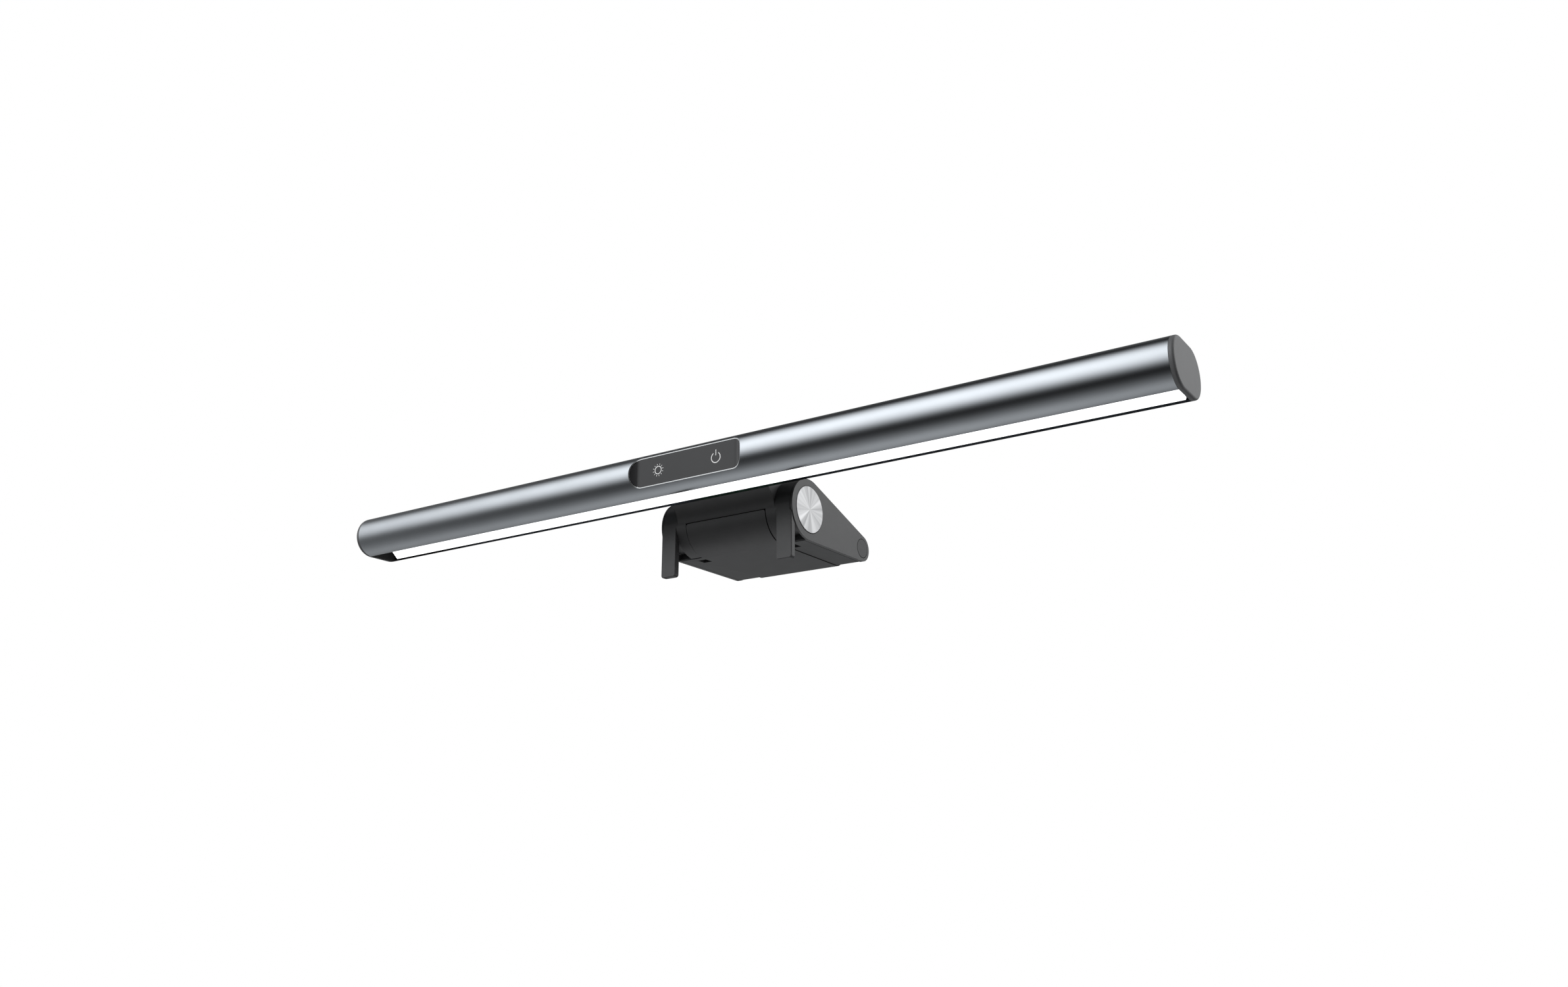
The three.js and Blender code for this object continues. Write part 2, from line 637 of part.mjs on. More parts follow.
function buildLamp() {
  const lamp = new THREE.Group();
  lamp.position.set(0, TUBE_Y, TUBE_Z);
  lamp.add(part('lamp_tube', lampTube(), anodised()));
  lamp.add(part('end_cap_right', endCap(), capGrey()));
  lamp.add(part('end_cap_left', mirrorX(endCap()), capGrey()));
  lamp.add(part('diffuser_plate', diffuserPlate(), opal()));
  lamp.add(part('led_board', ledBoard(), boardWhite()));
  lamp.add(part('touch_cover', touchCover(), touchBlack()));
  lamp.add(part('touch_board', touchBoard(), boardGreen()));
  lamp.add(part('power_socket', powerSocket(), moulded()));
  lamp.add(part('tilt_screw_right', tiltScrew(TILT_SCREW_X), steel()));
  lamp.add(part('tilt_screw_left', tiltScrew(-TILT_SCREW_X), steel()));
  lamp.add(part('tilt_nut_plate', tiltNutPlate(), steel()));
  return lamp;
}

function buildBracket() {
  const bracket = new THREE.Group();
  bracket.add(part('bracket_shell', bracketShell(), moulded()));
  bracket.add(part('hook_pad_right', hookPad(), silicone()));
  bracket.add(part('hook_pad_left', mirrorX(hookPad()), silicone()));
  return bracket;
}

function buildArm() {
  const arm = new THREE.Group();
  arm.add(part('arm_frame', armFrame(), moulded()));
  arm.add(part('cheek_right', cheek(), cheekBlack()));
  arm.add(part('cheek_left', mirrorX(cheek()), cheekBlack()));
  arm.add(part('side_disc_right', sideDisc(), spunMetal()));
  arm.add(part('side_disc_left', mirrorX(sideDisc()), spunMetal()));
  arm.add(part('pin_cover_right', pinCover(), moulded()));
  arm.add(part('pin_cover_left', mirrorX(pinCover()), moulded()));
  arm.add(part('barrel_axle', rod(AXLE_R, -CHEEK_OUT + 1.1, CHEEK_OUT - 1.1, 0, 0, 24), steel()));
  arm.add(part('barrel_spring', coilSpring(4.0, 0.7, 7, 16, -8), springSteel()));
  arm.add(part('rear_pin', rod(PIN_R, -CHEEK_OUT + 0.9, CHEEK_OUT - 0.9, REAR_Y, REAR_Z, 24), steel()));
  return arm;
}

function buildFlap() {
  const flap = new THREE.Group();
  flap.add(part('flap', flapBody(), moulded()));
  flap.add(part('flap_weight', flapWeight(), steel()));
  flap.add(part('flap_pad', flapPad(), silicone()));
  const spring = part('flap_spring', coilSpring(3.3, 0.6, 5, 8.5, 12.5), springSteel());
  spring.position.set(0, REAR_Y, REAR_Z);
  flap.add(spring);
  return flap;
}

const lightBar = new THREE.Group();
lightBar.position.set(0, BARREL_Y, BARREL_Z);
lightBar.add(buildLamp(), buildBracket(), buildArm(), buildFlap());

export default lightBar;
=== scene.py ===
# %% [markdown]
# # A light bar for the top of a screen
#
# The lamp is a long aluminium tube with a slanted light plate in its belly, a touch control scooped
# into its front, and a black spring clip behind it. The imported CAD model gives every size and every
# hinge. This lesson dresses it: each visible piece is made again as a clean mesh with soft edges and
# smooth shading, in the same place, and gets a finish made only from shader nodes.
#
# We work in millimetres while shaping, because the parts are small, and turn to metres at the last
# moment, when a mesh is made.

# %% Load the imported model
import json
import math

import bmesh
import bpy
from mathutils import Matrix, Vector


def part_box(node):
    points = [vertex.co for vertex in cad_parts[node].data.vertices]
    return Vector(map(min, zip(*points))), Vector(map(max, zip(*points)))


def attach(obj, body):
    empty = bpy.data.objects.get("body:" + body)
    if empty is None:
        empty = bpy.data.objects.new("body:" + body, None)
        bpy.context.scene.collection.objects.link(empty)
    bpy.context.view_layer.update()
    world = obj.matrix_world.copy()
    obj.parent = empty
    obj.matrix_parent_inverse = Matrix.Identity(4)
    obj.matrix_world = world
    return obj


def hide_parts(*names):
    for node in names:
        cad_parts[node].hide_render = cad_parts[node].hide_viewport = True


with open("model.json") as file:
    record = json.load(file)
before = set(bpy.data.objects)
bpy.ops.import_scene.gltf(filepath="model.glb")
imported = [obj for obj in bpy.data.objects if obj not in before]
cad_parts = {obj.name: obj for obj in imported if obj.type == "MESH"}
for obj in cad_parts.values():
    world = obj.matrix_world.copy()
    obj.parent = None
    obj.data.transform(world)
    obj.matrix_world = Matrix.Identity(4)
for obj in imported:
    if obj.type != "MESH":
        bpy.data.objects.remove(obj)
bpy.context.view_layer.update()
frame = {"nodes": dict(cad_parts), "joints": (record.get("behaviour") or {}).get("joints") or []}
MM = 0.001

# %% [markdown]
# ## Where things are
#
# Nothing is placed by eye. The three hinges of the record are the three centres of this object: the
# barrel of the clip, the pin at the back of the flap, and the point that the tube tilts about. The
# end caps give the tube's section: two half rounds joined by short flats. We read them once and
# build everything else round them.

# %% Read the centres and the main sizes
pivots = {joint["name"]: [value / MM for value in joint["pos_m"]] for joint in frame["joints"]}
BARREL_Y, BARREL_Z = pivots["bracket_swing"][1:]
TILT_Y, TILT_Z = pivots["lamp_tilt"][1:]
REAR_Y, REAR_Z = pivots["flap_swing"][1:]

cap_low, cap_high = (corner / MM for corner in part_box("end_cap_right"))
BAR_HALF = cap_high.x
TUBE_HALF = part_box("lamp_tube")[1].x / MM
TUBE_R = (cap_high.z - cap_low.z) / 2
TUBE_FLAT = (cap_high.y - cap_low.y) / 2 - TUBE_R
TUBE_Y = (cap_high.y + cap_low.y) / 2
TUBE_Z = (cap_high.z + cap_low.z) / 2
print("bar length", round(2 * BAR_HALF, 1), "tube section", round(2 * TUBE_R, 1), "x",
      round(2 * (TUBE_R + TUBE_FLAT), 1))

# %% [markdown]
# ## The camera
#
# The camera stands below the lamp and to its right, with a fairly wide lens, so that the light plate
# and the clip both show. Four things place it: how far round the object it stands, how far below the
# horizon, how far away, and the point it looks at.

# %% Make the camera
AZIMUTH = math.radians(33.8)
ELEVATION = math.radians(-17.0)
DISTANCE = 0.6248
LOOK_AT = Vector((18.5, BARREL_Y + 7.7, BARREL_Z + 13.1)) * MM

backwards = Vector((
    math.sin(AZIMUTH) * math.cos(ELEVATION),
    -math.cos(AZIMUTH) * math.cos(ELEVATION),
    math.sin(ELEVATION),
))
camera_data = bpy.data.cameras.new("camera")
camera_data.lens = 30.0
camera_data.sensor_width = 36.0
camera = bpy.data.objects.new("camera", camera_data)
camera.location = LOOK_AT + backwards * DISTANCE
camera.rotation_mode = "QUATERNION"
camera.rotation_quaternion = (-backwards).to_track_quat("-Z", "Y")
bpy.context.scene.collection.objects.link(camera)
bpy.context.scene.camera = camera
print("camera at, mm:", [round(v / MM) for v in camera.location])

# %% [markdown]
# ## The studio
#
# Satin metal has no look of its own: what you see is the room in it. A bar like this is lit with
# long soft boxes that run along it, so the tube shows bright and dark bands from end to end. We
# paint those soft boxes on the world. A direction's angle round the X axis picks a brightness from
# one ramp, and its lean along X picks how much of the boxes is left from a second ramp.
#
# The camera itself sees plain white where nothing stands, as in a white studio cove.

# %% Paint the soft boxes on the world
scene = bpy.context.scene
scene.view_settings.view_transform = "Standard"
world = bpy.data.worlds.new("studio")
scene.world = world
world.use_nodes = True
world_nodes = world.node_tree.nodes
world_links = world.node_tree.links
world_nodes.clear()


def world_node(kind, **settings):
    node = world_nodes.new(kind)
    for key, value in settings.items():
        setattr(node, key, value)
    return node


def world_math(operation, *values):
    node = world_node("ShaderNodeMath", operation=operation)
    for socket, value in zip(node.inputs, values):
        if isinstance(value, (int, float)):
            socket.default_value = value
        else:
            world_links.new(value, socket)
    return node.outputs[0]


def world_ramp(factor, stops):
    """stops are (position, brightness) pairs, with positions from 0 to 1."""
    node = world_node("ShaderNodeValToRGB")
    node.color_ramp.interpolation = "B_SPLINE"
    elements = node.color_ramp.elements
    while len(elements) < len(stops):
        elements.new(1.0)
    for element, (position, brightness) in zip(elements, stops):
        element.position = position
        element.color = (brightness, brightness, brightness, 1.0)
    world_links.new(factor, node.inputs[0])
    return node.outputs[0]


direction = world_node("ShaderNodeTexCoord").outputs["Generated"]
split = world_node("ShaderNodeSeparateXYZ")
world_links.new(direction, split.inputs[0])
lean, toward_back, up = split.outputs
round_x = world_math("ARCTAN2", up, toward_back)
turn = world_math("FRACT", world_math("ADD", world_math("DIVIDE", round_x, 2 * math.pi), 1.0))
print("the world reads a ray's angle round the bar and its lean along it")

# %% [markdown]
# The angle is counted in turns: 0 is straight back, 0.25 straight up, 0.5 straight to the front and
# 0.75 straight down. The big key box stands between up and front, a gap follows, and a dim sheet
# lies below. Brightness is divided by four in the ramp, because a ramp can't hold more than 1, and
# multiplied again afterwards.

# %% Bands round the bar
BOOST = 4.0
bands = world_ramp(turn, [
    (0.00, 0.04), (0.05, 0.05), (0.10, 0.04), (0.15, 0.012), (0.20, 0.0), (0.24, 0.0), (0.28, 0.20),
    (0.32, 0.43), (0.36, 0.55), (0.41, 0.54), (0.46, 0.37), (0.50, 0.17), (0.54, 0.02), (0.58, 0.0),
    (0.62, 0.011), (0.66, 0.034), (0.71, 0.08), (0.76, 0.14), (0.81, 0.155), (0.86, 0.12),
    (0.91, 0.06), (0.96, 0.05), (1.00, 0.04),
])
back_band = world_ramp(turn, [
    (0.00, 0.08), (0.04, 0.16), (0.09, 0.36), (0.14, 0.30), (0.19, 0.08), (0.24, 0.0), (0.60, 0.0),
    (0.90, 0.0), (0.95, 0.03), (1.00, 0.08),
])
left_or_right = world_math("MULTIPLY_ADD", lean, 0.5, 0.5)
keep_left = world_ramp(left_or_right, [
    (0.00, 0.0), (0.06, 0.2), (0.12, 0.46), (0.17, 0.78), (0.24, 1.0), (0.39, 1.0), (0.44, 0.5),
    (0.48, 0.0), (1.00, 0.0),
])
keep_right = world_ramp(left_or_right, [
    (0.00, 0.0), (0.39, 0.0), (0.44, 0.3), (0.50, 0.9), (0.56, 1.0), (1.00, 1.0),
])
side_glow = world_ramp(left_or_right, [
    (0.00, 0.25), (0.05, 0.16), (0.10, 0.04), (0.14, 0.026), (0.20, 0.010), (0.28, 0.001),
    (0.50, 0.0), (1.00, 0.0),
])
print("bands painted, all to be multiplied by", BOOST)

# %% [markdown]
# The world is then: bands times what is left of them, plus the glow of the side walls. A light path
# switch shows white to the camera only. It is a studio trick on the world, not on a material, so
# every surface keeps its own look from every side.

# %% Add the parts and show the camera white
front_boxes = world_math("MULTIPLY_ADD", bands, keep_left, side_glow)
all_boxes = world_math("MULTIPLY_ADD", back_band, keep_right, front_boxes)
room = world_math("MULTIPLY", all_boxes, BOOST)
room_light = world_node("ShaderNodeBackground")
world_links.new(room, room_light.inputs["Strength"])
room_light.inputs["Color"].default_value = (0.965, 0.985, 1.0, 1.0)
white_cove = world_node("ShaderNodeBackground")
white_cove.inputs["Color"].default_value = (1.0, 1.0, 1.0, 1.0)
choose = world_node("ShaderNodeMixShader")
world_links.new(world_node("ShaderNodeLightPath").outputs["Is Camera Ray"], choose.inputs[0])
world_links.new(room_light.outputs[0], choose.inputs[1])
world_links.new(white_cove.outputs[0], choose.inputs[2])
world_links.new(choose.outputs[0], world_node("ShaderNodeOutputWorld").inputs["Surface"])
world.cycles.sampling_method = "MANUAL"
world.cycles.sample_map_resolution = 1024
print("world nodes:", len(world_nodes))

# %% [markdown]
# Three real soft boxes stand in the room as well. One at the right, a little behind, lifts the
# clip's side cheek, the end cap and the brushed disc off the black parts beside them. One below
# fills the undersides, and one high in front reaches the hooks, while the tube keeps its own shade
# on the barrel behind it. The two fills are hidden from mirror reflections, so they brighten
# plastic but draw no extra band on the tube.

# %% Stand three soft boxes


def softbox(name, place, width, height, watts):
    data = bpy.data.lights.new(name, "AREA")
    data.shape = "RECTANGLE"
    data.size = width
    data.size_y = height
    data.energy = watts
    light = bpy.data.objects.new(name, data)
    light.location = place
    aim = Vector((0.0, 0.02, 0.01)) - light.location
    light.rotation_mode = "QUATERNION"
    light.rotation_quaternion = aim.to_track_quat("-Z", "Y")
    light.visible_camera = False
    scene.collection.objects.link(light)
    print(name, watts, "W")
    return light


softbox("right_softbox", (1.25, 0.55, 0.35), 2.4, 1.8, 12.3)
low_fill = softbox("low_fill", (0.05, 0.06, -0.42), 0.8, 0.5, 2.0)
low_fill.visible_glossy = False
front_fill = softbox("front_fill", (-0.25, -0.95, 0.72), 0.9, 0.5, 17.0)
front_fill.visible_glossy = False

# %% [markdown]
# The lamp hangs on a screen, so the floor, or the desk, is well below it. It is a pale round sheet
# that fades to the white of the cove at its rim. It is hidden from mirror reflections, or its pale
# colour would fill the dark gap between the tube's bands, and from diffuse light, so that it doesn't
# brighten the clip from below.

# %% Lay the floor
FLOOR_DROP = 0.45
FLOOR_RADIUS = 2.2


def lay_floor():
    mesh = bpy.data.meshes.new("floor")
    shape = bmesh.new()
    bmesh.ops.create_circle(shape, cap_ends=True, radius=FLOOR_RADIUS, segments=96)
    shape.to_mesh(mesh)
    shape.free()
    floor = bpy.data.objects.new("floor", mesh)
    floor.location.z = -FLOOR_DROP
    scene.collection.objects.link(floor)
    paper = bpy.data.materials.new("pale_paper")
    paper.use_nodes = True
    nodes, links = paper.node_tree.nodes, paper.node_tree.links
    shader = nodes["Principled BSDF"]
    shader.inputs["Roughness"].default_value = 0.9
    shader.inputs["Base Color"].default_value = (0.80, 0.80, 0.80, 1.0)
    shader.inputs["Emission Color"].default_value = (1.0, 1.0, 1.0, 1.0)
    place = nodes.new("ShaderNodeTexCoord")
    length = nodes.new("ShaderNodeVectorMath")
    length.operation = "LENGTH"
    links.new(place.outputs["Object"], length.inputs[0])
    fade = nodes.new("ShaderNodeMapRange")
    fade.inputs["From Min"].default_value = 0.5
    fade.inputs["From Max"].default_value = FLOOR_RADIUS
    fade.inputs["To Min"].default_value = 0.50
    fade.inputs["To Max"].default_value = 0.95
    links.new(length.outputs["Value"], fade.inputs["Value"])
    links.new(fade.outputs["Result"], shader.inputs["Emission Strength"])
    mesh.materials.append(paper)
    floor.visible_glossy = False
    floor.visible_diffuse = False
    return floor


lay_floor()
print("floor", FLOOR_DROP, "m below the screen's edge")

# %% [markdown]
# ## Finishes
#
# Every finish is the Principled shader with three small additions: a noise that varies the colour a
# little, a noise that varies the roughness, and a fine bump. The noise is measured in the object's
# own metres, so a scale of 3000 makes spots of about a third of a millimetre, the size of real
# moulding grain.

# %% A helper that makes a finish


def finish(name, colour, roughness, metallic=0.0, grain=3000.0, depth=0.004, vary=0.08, spread=0.05,
           stretch=(1.0, 1.0, 1.0)):
    """depth is the bump's height in millimetres; vary and spread are shares of colour and roughness."""
    material = bpy.data.materials.new(name)
    material.use_nodes = True
    nodes, links = material.node_tree.nodes, material.node_tree.links
    shader = nodes["Principled BSDF"]
    shader.inputs["Metallic"].default_value = metallic
    place = nodes.new("ShaderNodeTexCoord")
    scale = nodes.new("ShaderNodeMapping")
    scale.inputs["Scale"].default_value = stretch
    links.new(place.outputs["Object"], scale.inputs["Vector"])

    cloud = nodes.new("ShaderNodeTexNoise")
    cloud.inputs["Scale"].default_value = grain / 30.0
    cloud.inputs["Detail"].default_value = 4.0
    links.new(scale.outputs["Vector"], cloud.inputs["Vector"])
    tint = nodes.new("ShaderNodeValToRGB")
    tint.color_ramp.elements[0].position = 0.3
    tint.color_ramp.elements[1].position = 0.7
    tint.color_ramp.elements[0].color = [c * (1.0 - vary) for c in colour] + [1.0]
    tint.color_ramp.elements[1].color = [c * (1.0 + vary) for c in colour] + [1.0]
    links.new(cloud.outputs["Fac"], tint.inputs["Fac"])
    links.new(tint.outputs["Color"], shader.inputs["Base Color"])

    speckle = nodes.new("ShaderNodeTexNoise")
    speckle.inputs["Scale"].default_value = grain
    speckle.inputs["Detail"].default_value = 2.0
    links.new(scale.outputs["Vector"], speckle.inputs["Vector"])
    gloss = nodes.new("ShaderNodeMapRange")
    gloss.inputs["To Min"].default_value = roughness - spread
    gloss.inputs["To Max"].default_value = roughness + spread
    links.new(speckle.outputs["Fac"], gloss.inputs["Value"])
    links.new(gloss.outputs["Result"], shader.inputs["Roughness"])
    bump = nodes.new("ShaderNodeBump")
    bump.inputs["Strength"].default_value = 1.0
    bump.inputs["Distance"].default_value = depth * MM
    links.new(speckle.outputs["Fac"], bump.inputs["Height"])
    links.new(bump.outputs["Normal"], shader.inputs["Normal"])
    return material


def shader_of(material):
    return material.node_tree.nodes["Principled BSDF"]


# %% [markdown]
# The tube is extruded, bead blasted and anodised space grey: satin metal, very slightly blue. Where
# the cutter has gone through the colour, round the touch control, bare aluminium shines.

# %% Metals
anodised = finish("anodised_space_grey", (0.455, 0.475, 0.500), 0.22, 1.0, grain=5200.0, depth=0.0012,
                  vary=0.03, spread=0.03, stretch=(0.35, 1.0, 1.0))
fresh_cut = finish("fresh_cut_aluminium", (0.60, 0.605, 0.61), 0.40, 1.0, grain=2600.0, depth=0.001,
                   vary=0.02, spread=0.05)
steel = finish("plated_steel", (0.62, 0.63, 0.65), 0.28, 1.0, grain=1800.0, depth=0.001, spread=0.08)
spring_steel = finish("spring_steel", (0.38, 0.39, 0.41), 0.33, 1.0, grain=1500.0, depth=0.001, spread=0.06)
cast_weight = finish("cast_weight", (0.42, 0.42, 0.43), 0.5, 1.0, grain=900.0, depth=0.02, spread=0.1)
print("metals:", ", ".join(m.name for m in (anodised, fresh_cut, steel, spring_steel, cast_weight)))

# %% [markdown]
# The clip is black moulded plastic with a fine spark-eroded grain. The side cheeks are a separate
# moulding and a shade lighter, the end caps lighter again. Rubber pads are dull and nearly black. The
# side walls of the narrow gaps beside the flap get a still blacker matt colour, which is painted
# shade: it keeps the gaps dark, and it shows when the flap hangs down.

# %% Plastics and rubber
# Near-black for the walls of the gaps beside the flap: painted shade.
gap_shade_paint = finish("gap_shade_paint", (0.005, 0.005, 0.005), 0.85, grain=1500.0, depth=0.01)
moulded_black = finish("moulded_black", (0.034, 0.034, 0.035), 0.44, grain=3600.0, depth=0.006)
cheek_black = finish("cheek_black", (0.052, 0.052, 0.053), 0.47, grain=3600.0, depth=0.005)
cover_black = finish("cover_black", (0.030, 0.030, 0.031), 0.50, grain=3600.0, depth=0.005)
cap_grey = finish("cap_grey", (0.066, 0.067, 0.069), 0.50, grain=3200.0, depth=0.006)
pad_rubber = finish("pad_rubber", (0.022, 0.022, 0.023), 0.78, grain=1400.0, depth=0.02, spread=0.08)

# %% [markdown]
# The touch control is a dark acrylic cover, smooth and fairly glossy. Its two marks are printed in
# pale grey and given a faint painted glow. The light plate is opal acrylic that glows all over.

# %% Touch cover, print and opal plate
touch_acrylic = finish("touch_acrylic", (0.020, 0.020, 0.021), 0.16, grain=700.0, depth=0.0004,
                       vary=0.1, spread=0.02)
shader_of(touch_acrylic).inputs["Specular IOR Level"].default_value = 0.33
print_with_painted_glow = finish("print_with_painted_glow", (0.50, 0.50, 0.50), 0.5, grain=5000.0, depth=0.002, vary=0.04)
# A faint emission makes the printed marks glow a little: painted light.
shader_of(print_with_painted_glow).inputs["Emission Color"].default_value = (1.0, 1.0, 1.0, 1.0)
shader_of(print_with_painted_glow).inputs["Emission Strength"].default_value = 0.03
opal_glow = finish("opal_glow", (0.90, 0.91, 0.92), 0.42, grain=2400.0, depth=0.004, vary=0.02)
shader_of(opal_glow).inputs["Emission Color"].default_value = (1.0, 1.0, 1.0, 1.0)
shader_of(opal_glow).inputs["Emission Strength"].default_value = 1.35

# %% [markdown]
# ## Making meshes
#
# Almost every part here is a drawing pushed along a straight line, so one maker does most of the
# work. It takes closed outlines, all with the same number of points, and skins them like ribs of a
# boat, with a face on each end. A plain prism is two ribs. A cap with a rounded edge is eight.

# %% Skin a stack of outlines


def make_piece(name, points, faces):
    mesh = bpy.data.meshes.new(name)
    mesh.from_pydata([Vector(point) * MM for point in points], [], faces)
    shape = bmesh.new()
    shape.from_mesh(mesh)
    bmesh.ops.recalc_face_normals(shape, faces=shape.faces)
    shape.to_mesh(mesh)
    shape.free()
    piece = bpy.data.objects.new(name, mesh)
    scene.collection.objects.link(piece)
    return piece


def along_x(across, height, run):
    return (run, across, height)


def along_y(across, height, run):
    return (across, run, height)


def along_z(across, height, run):
    return (across, height, run)


def skin(name, ribs, place=along_x):
    """ribs are (run, outline) pairs, with outlines of the same length."""
    count = len(ribs[0][1])
    points = [place(across, height, run) for run, outline in ribs for across, height in outline]
    faces = []
    for rib in range(len(ribs) - 1):
        start = rib * count
        for i in range(count):
            j = (i + 1) % count
            faces.append([start + i, start + j, start + count + j, start + count + i])
    faces.append(list(range(count)))
    faces.append(list(range((len(ribs) - 1) * count, len(ribs) * count)))
    return make_piece(name, points, faces)


def prism(name, outline, low, high, place=along_x):
    return skin(name, [(low, outline), (high, outline)], place)


# %% [markdown]
# The drawings themselves are made of arcs and straight lines. Angles are in degrees: 0 points to the
# back, 90 up, 180 to the front, just like the studio's bands.

# %% Arcs, obrounds and the clip's teardrop


def on_circle(radius, angle, centre=(0.0, 0.0)):
    turned = math.radians(angle)
    return (centre[0] + radius * math.cos(turned), centre[1] + radius * math.sin(turned))


def arc(radius, start, end, centre=(0.0, 0.0), step=2.0):
    count = max(1, math.ceil(abs(end - start) / step))
    return [on_circle(radius, start + (end - start) * i / count, centre) for i in range(count + 1)]


def tube_outline(radius, step=2.0):
    back = arc(radius, -90, 90, (TUBE_Y + TUBE_FLAT, TUBE_Z), step)
    front = arc(radius, 90, 270, (TUBE_Y - TUBE_FLAT, TUBE_Z), step)
    return back + front


BARREL = (BARREL_Y, BARREL_Z)
REAR = (REAR_Y, REAR_Z)


def teardrop(big, small, step=3.0):
    reach = math.hypot(REAR_Y - BARREL_Y, REAR_Z - BARREL_Z)
    lie = math.degrees(math.atan2(REAR_Z - BARREL_Z, REAR_Y - BARREL_Y))
    opened = math.degrees(math.acos((big - small) / reach))
    return (arc(big, lie + opened, lie + 360 - opened, BARREL, step)
            + arc(small, lie - opened, lie + opened, REAR, step))


def box(name, x, y, z):
    """x, y and z are (low, high) pairs."""
    outline = [(y[0], z[0]), (y[1], z[0]), (y[1], z[1]), (y[0], z[1])]
    return prism(name, outline, x[0], x[1])


def bar_along_x(name, radius, low, high, centre, step=5.0):
    return prism(name, arc(radius, 0, 360 - step, centre, step), low, high)


# %% [markdown]
# Real machining is cutting and joining, and Blender's Boolean modifier does both. We set the exact
# solver, which copes with long thin faces, and bake the result into the mesh straight away. The
# tools vanish. Faces that lie in one plane are then merged, so that the next step finds clean edges.

# %% Cut and join with booleans


def settle(piece):
    """Bakes the modifiers of a piece into its mesh."""
    bpy.context.view_layer.update()
    graph = bpy.context.evaluated_depsgraph_get()
    shaped = bpy.data.meshes.new_from_object(piece.evaluated_get(graph))
    piece.modifiers.clear()
    piece.data = shaped
    return piece


def combine(piece, tools, operation):
    for tool in tools:
        step = piece.modifiers.new(operation.lower(), "BOOLEAN")
        step.operation = operation
        step.solver = "EXACT"
        step.object = tool
    settle(piece)
    for tool in tools:
        bpy.data.objects.remove(tool)
    shape = bmesh.new()
    shape.from_mesh(piece.data)
    bmesh.ops.remove_doubles(shape, verts=shape.verts, dist=0.002 * MM)
    bmesh.ops.dissolve_limit(shape, angle_limit=math.radians(0.2), verts=shape.verts, edges=shape.edges)
    shape.to_mesh(piece.data)
    shape.free()
    return piece


def cut(piece, *tools):
    return combine(piece, tools, "DIFFERENCE")


def join(piece, *tools):
    return combine(piece, tools, "UNION")


def trim(piece, *tools):
    return combine(piece, tools, "INTERSECT")


# %% [markdown]
# No real edge is perfectly sharp. A bevel a quarter of a millimetre wide catches the light and is
# most of what makes a render look real. It works only on edges that turn more than the given angle,
# so the small facets of round walls are left alone. Weighted normals keep the flats flat.

# %% Soften edges and shade smoothly


def smooth(piece, corner=38.0):
    piece.data.polygons.foreach_set("use_smooth", [True] * len(piece.data.polygons))
    piece.data.set_sharp_from_angle(angle=math.radians(corner))
    even = piece.modifiers.new("even_shading", "WEIGHTED_NORMAL")
    even.keep_sharp = True
    return piece


def soften(piece, width, steps=2, corner=35.0):
    edge = piece.modifiers.new("edge", "BEVEL")
    edge.width = width * MM
    edge.segments = steps
    edge.limit_method = "ANGLE"
    edge.angle_limit = math.radians(corner)
    edge.miter_outer = "MITER_ARC"
    settle(piece)
    return smooth(piece, 50.0)


def paint_gap_shade(piece, near, far):
    """Paints shade on the side walls that lie near to far mm from the middle: they get the near-black matt
    material.
    """
    piece.data.materials.append(gap_shade_paint)
    for face in piece.data.polygons:
        if abs(face.normal.x) > 0.9 and near <= abs(face.center.x) / MM <= far:
            face.material_index = 1


def dress(piece, body, material, slot, *stands_for):
    """Gives a finished piece its finish and its body, and hides the CAD solids that it stands for."""
    piece.data.materials.clear()
    piece.data.materials.append(material)
    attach(piece, body)
    if stands_for:
        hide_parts(*stands_for)
    print(piece.name, "faces", len(piece.data.polygons))
    return piece


# %% [markdown]
# ## The tube
#
# The tube is one extrusion: a thin wall open along its belly, with ribs inside that hold the light
# plate and the strip of LEDs. We draw the wall as a single outline that runs round the outside from
# lip to lip and back along the inside. The skin gets extra ribs where the touch control and the
# power socket are cut, so that those cuts don't drag long thin faces down the whole bar.

# %% Draw the wall and skin it
WALL = 1.4
SLOT_FRONT = -6.9
SLOT_BACK = 9.25


def lip_angle(radius, edge):
    """Where a slot edge meets an arc, as degrees away from straight down."""
    return math.degrees(math.asin((abs(edge) - TUBE_FLAT) / radius))


def wall_outline():
    inner = TUBE_R - WALL
    back_centre = (TUBE_Y + TUBE_FLAT, TUBE_Z)
    front_centre = (TUBE_Y - TUBE_FLAT, TUBE_Z)
    outside = (arc(TUBE_R, -90 + lip_angle(TUBE_R, SLOT_BACK), 90, back_centre)
               + arc(TUBE_R, 90, 270 - lip_angle(TUBE_R, SLOT_FRONT), front_centre))
    inside = (arc(inner, 270 - lip_angle(inner, SLOT_FRONT), 90, front_centre)
              + arc(inner, 90, -90 + lip_angle(inner, SLOT_BACK), back_centre))
    return outside + inside


stations = [-TUBE_HALF] + [float(x) for x in range(-36, 37, 2)]
stations += [float(x) for x in range(54, 71, 2)] + [TUBE_HALF]
tube = skin("tube_skin", [(x, wall_outline()) for x in stations])
print("tube wall", len(tube.data.vertices), "points")

# %% [markdown]
# The light plate leans: its foot is at the back lip and it rises towards the user, so that light
# falls on the desk and not on the screen. Everything that holds it is drawn in the plate's own
# directions, s along the slope and t behind it.

# %% Ribs inside the tube
PLATE_ANGLE = math.radians(139.0)
PLATE_FOOT = (TUBE_Y + 9.15, TUBE_Z - 9.04)
PLATE_WIDTH = 17.0
PLATE_THICK = 1.6
PLATE_GAP = 2.2
PLATE_HALF = TUBE_HALF - PLATE_GAP
RIB_HALF = PLATE_HALF - 0.5


def on_slope(s, t):
    along = (math.cos(PLATE_ANGLE), math.sin(PLATE_ANGLE))
    behind = (along[1], -along[0])
    return (PLATE_FOOT[0] + s * along[0] + t * behind[0], PLATE_FOOT[1] + s * along[1] + t * behind[1])


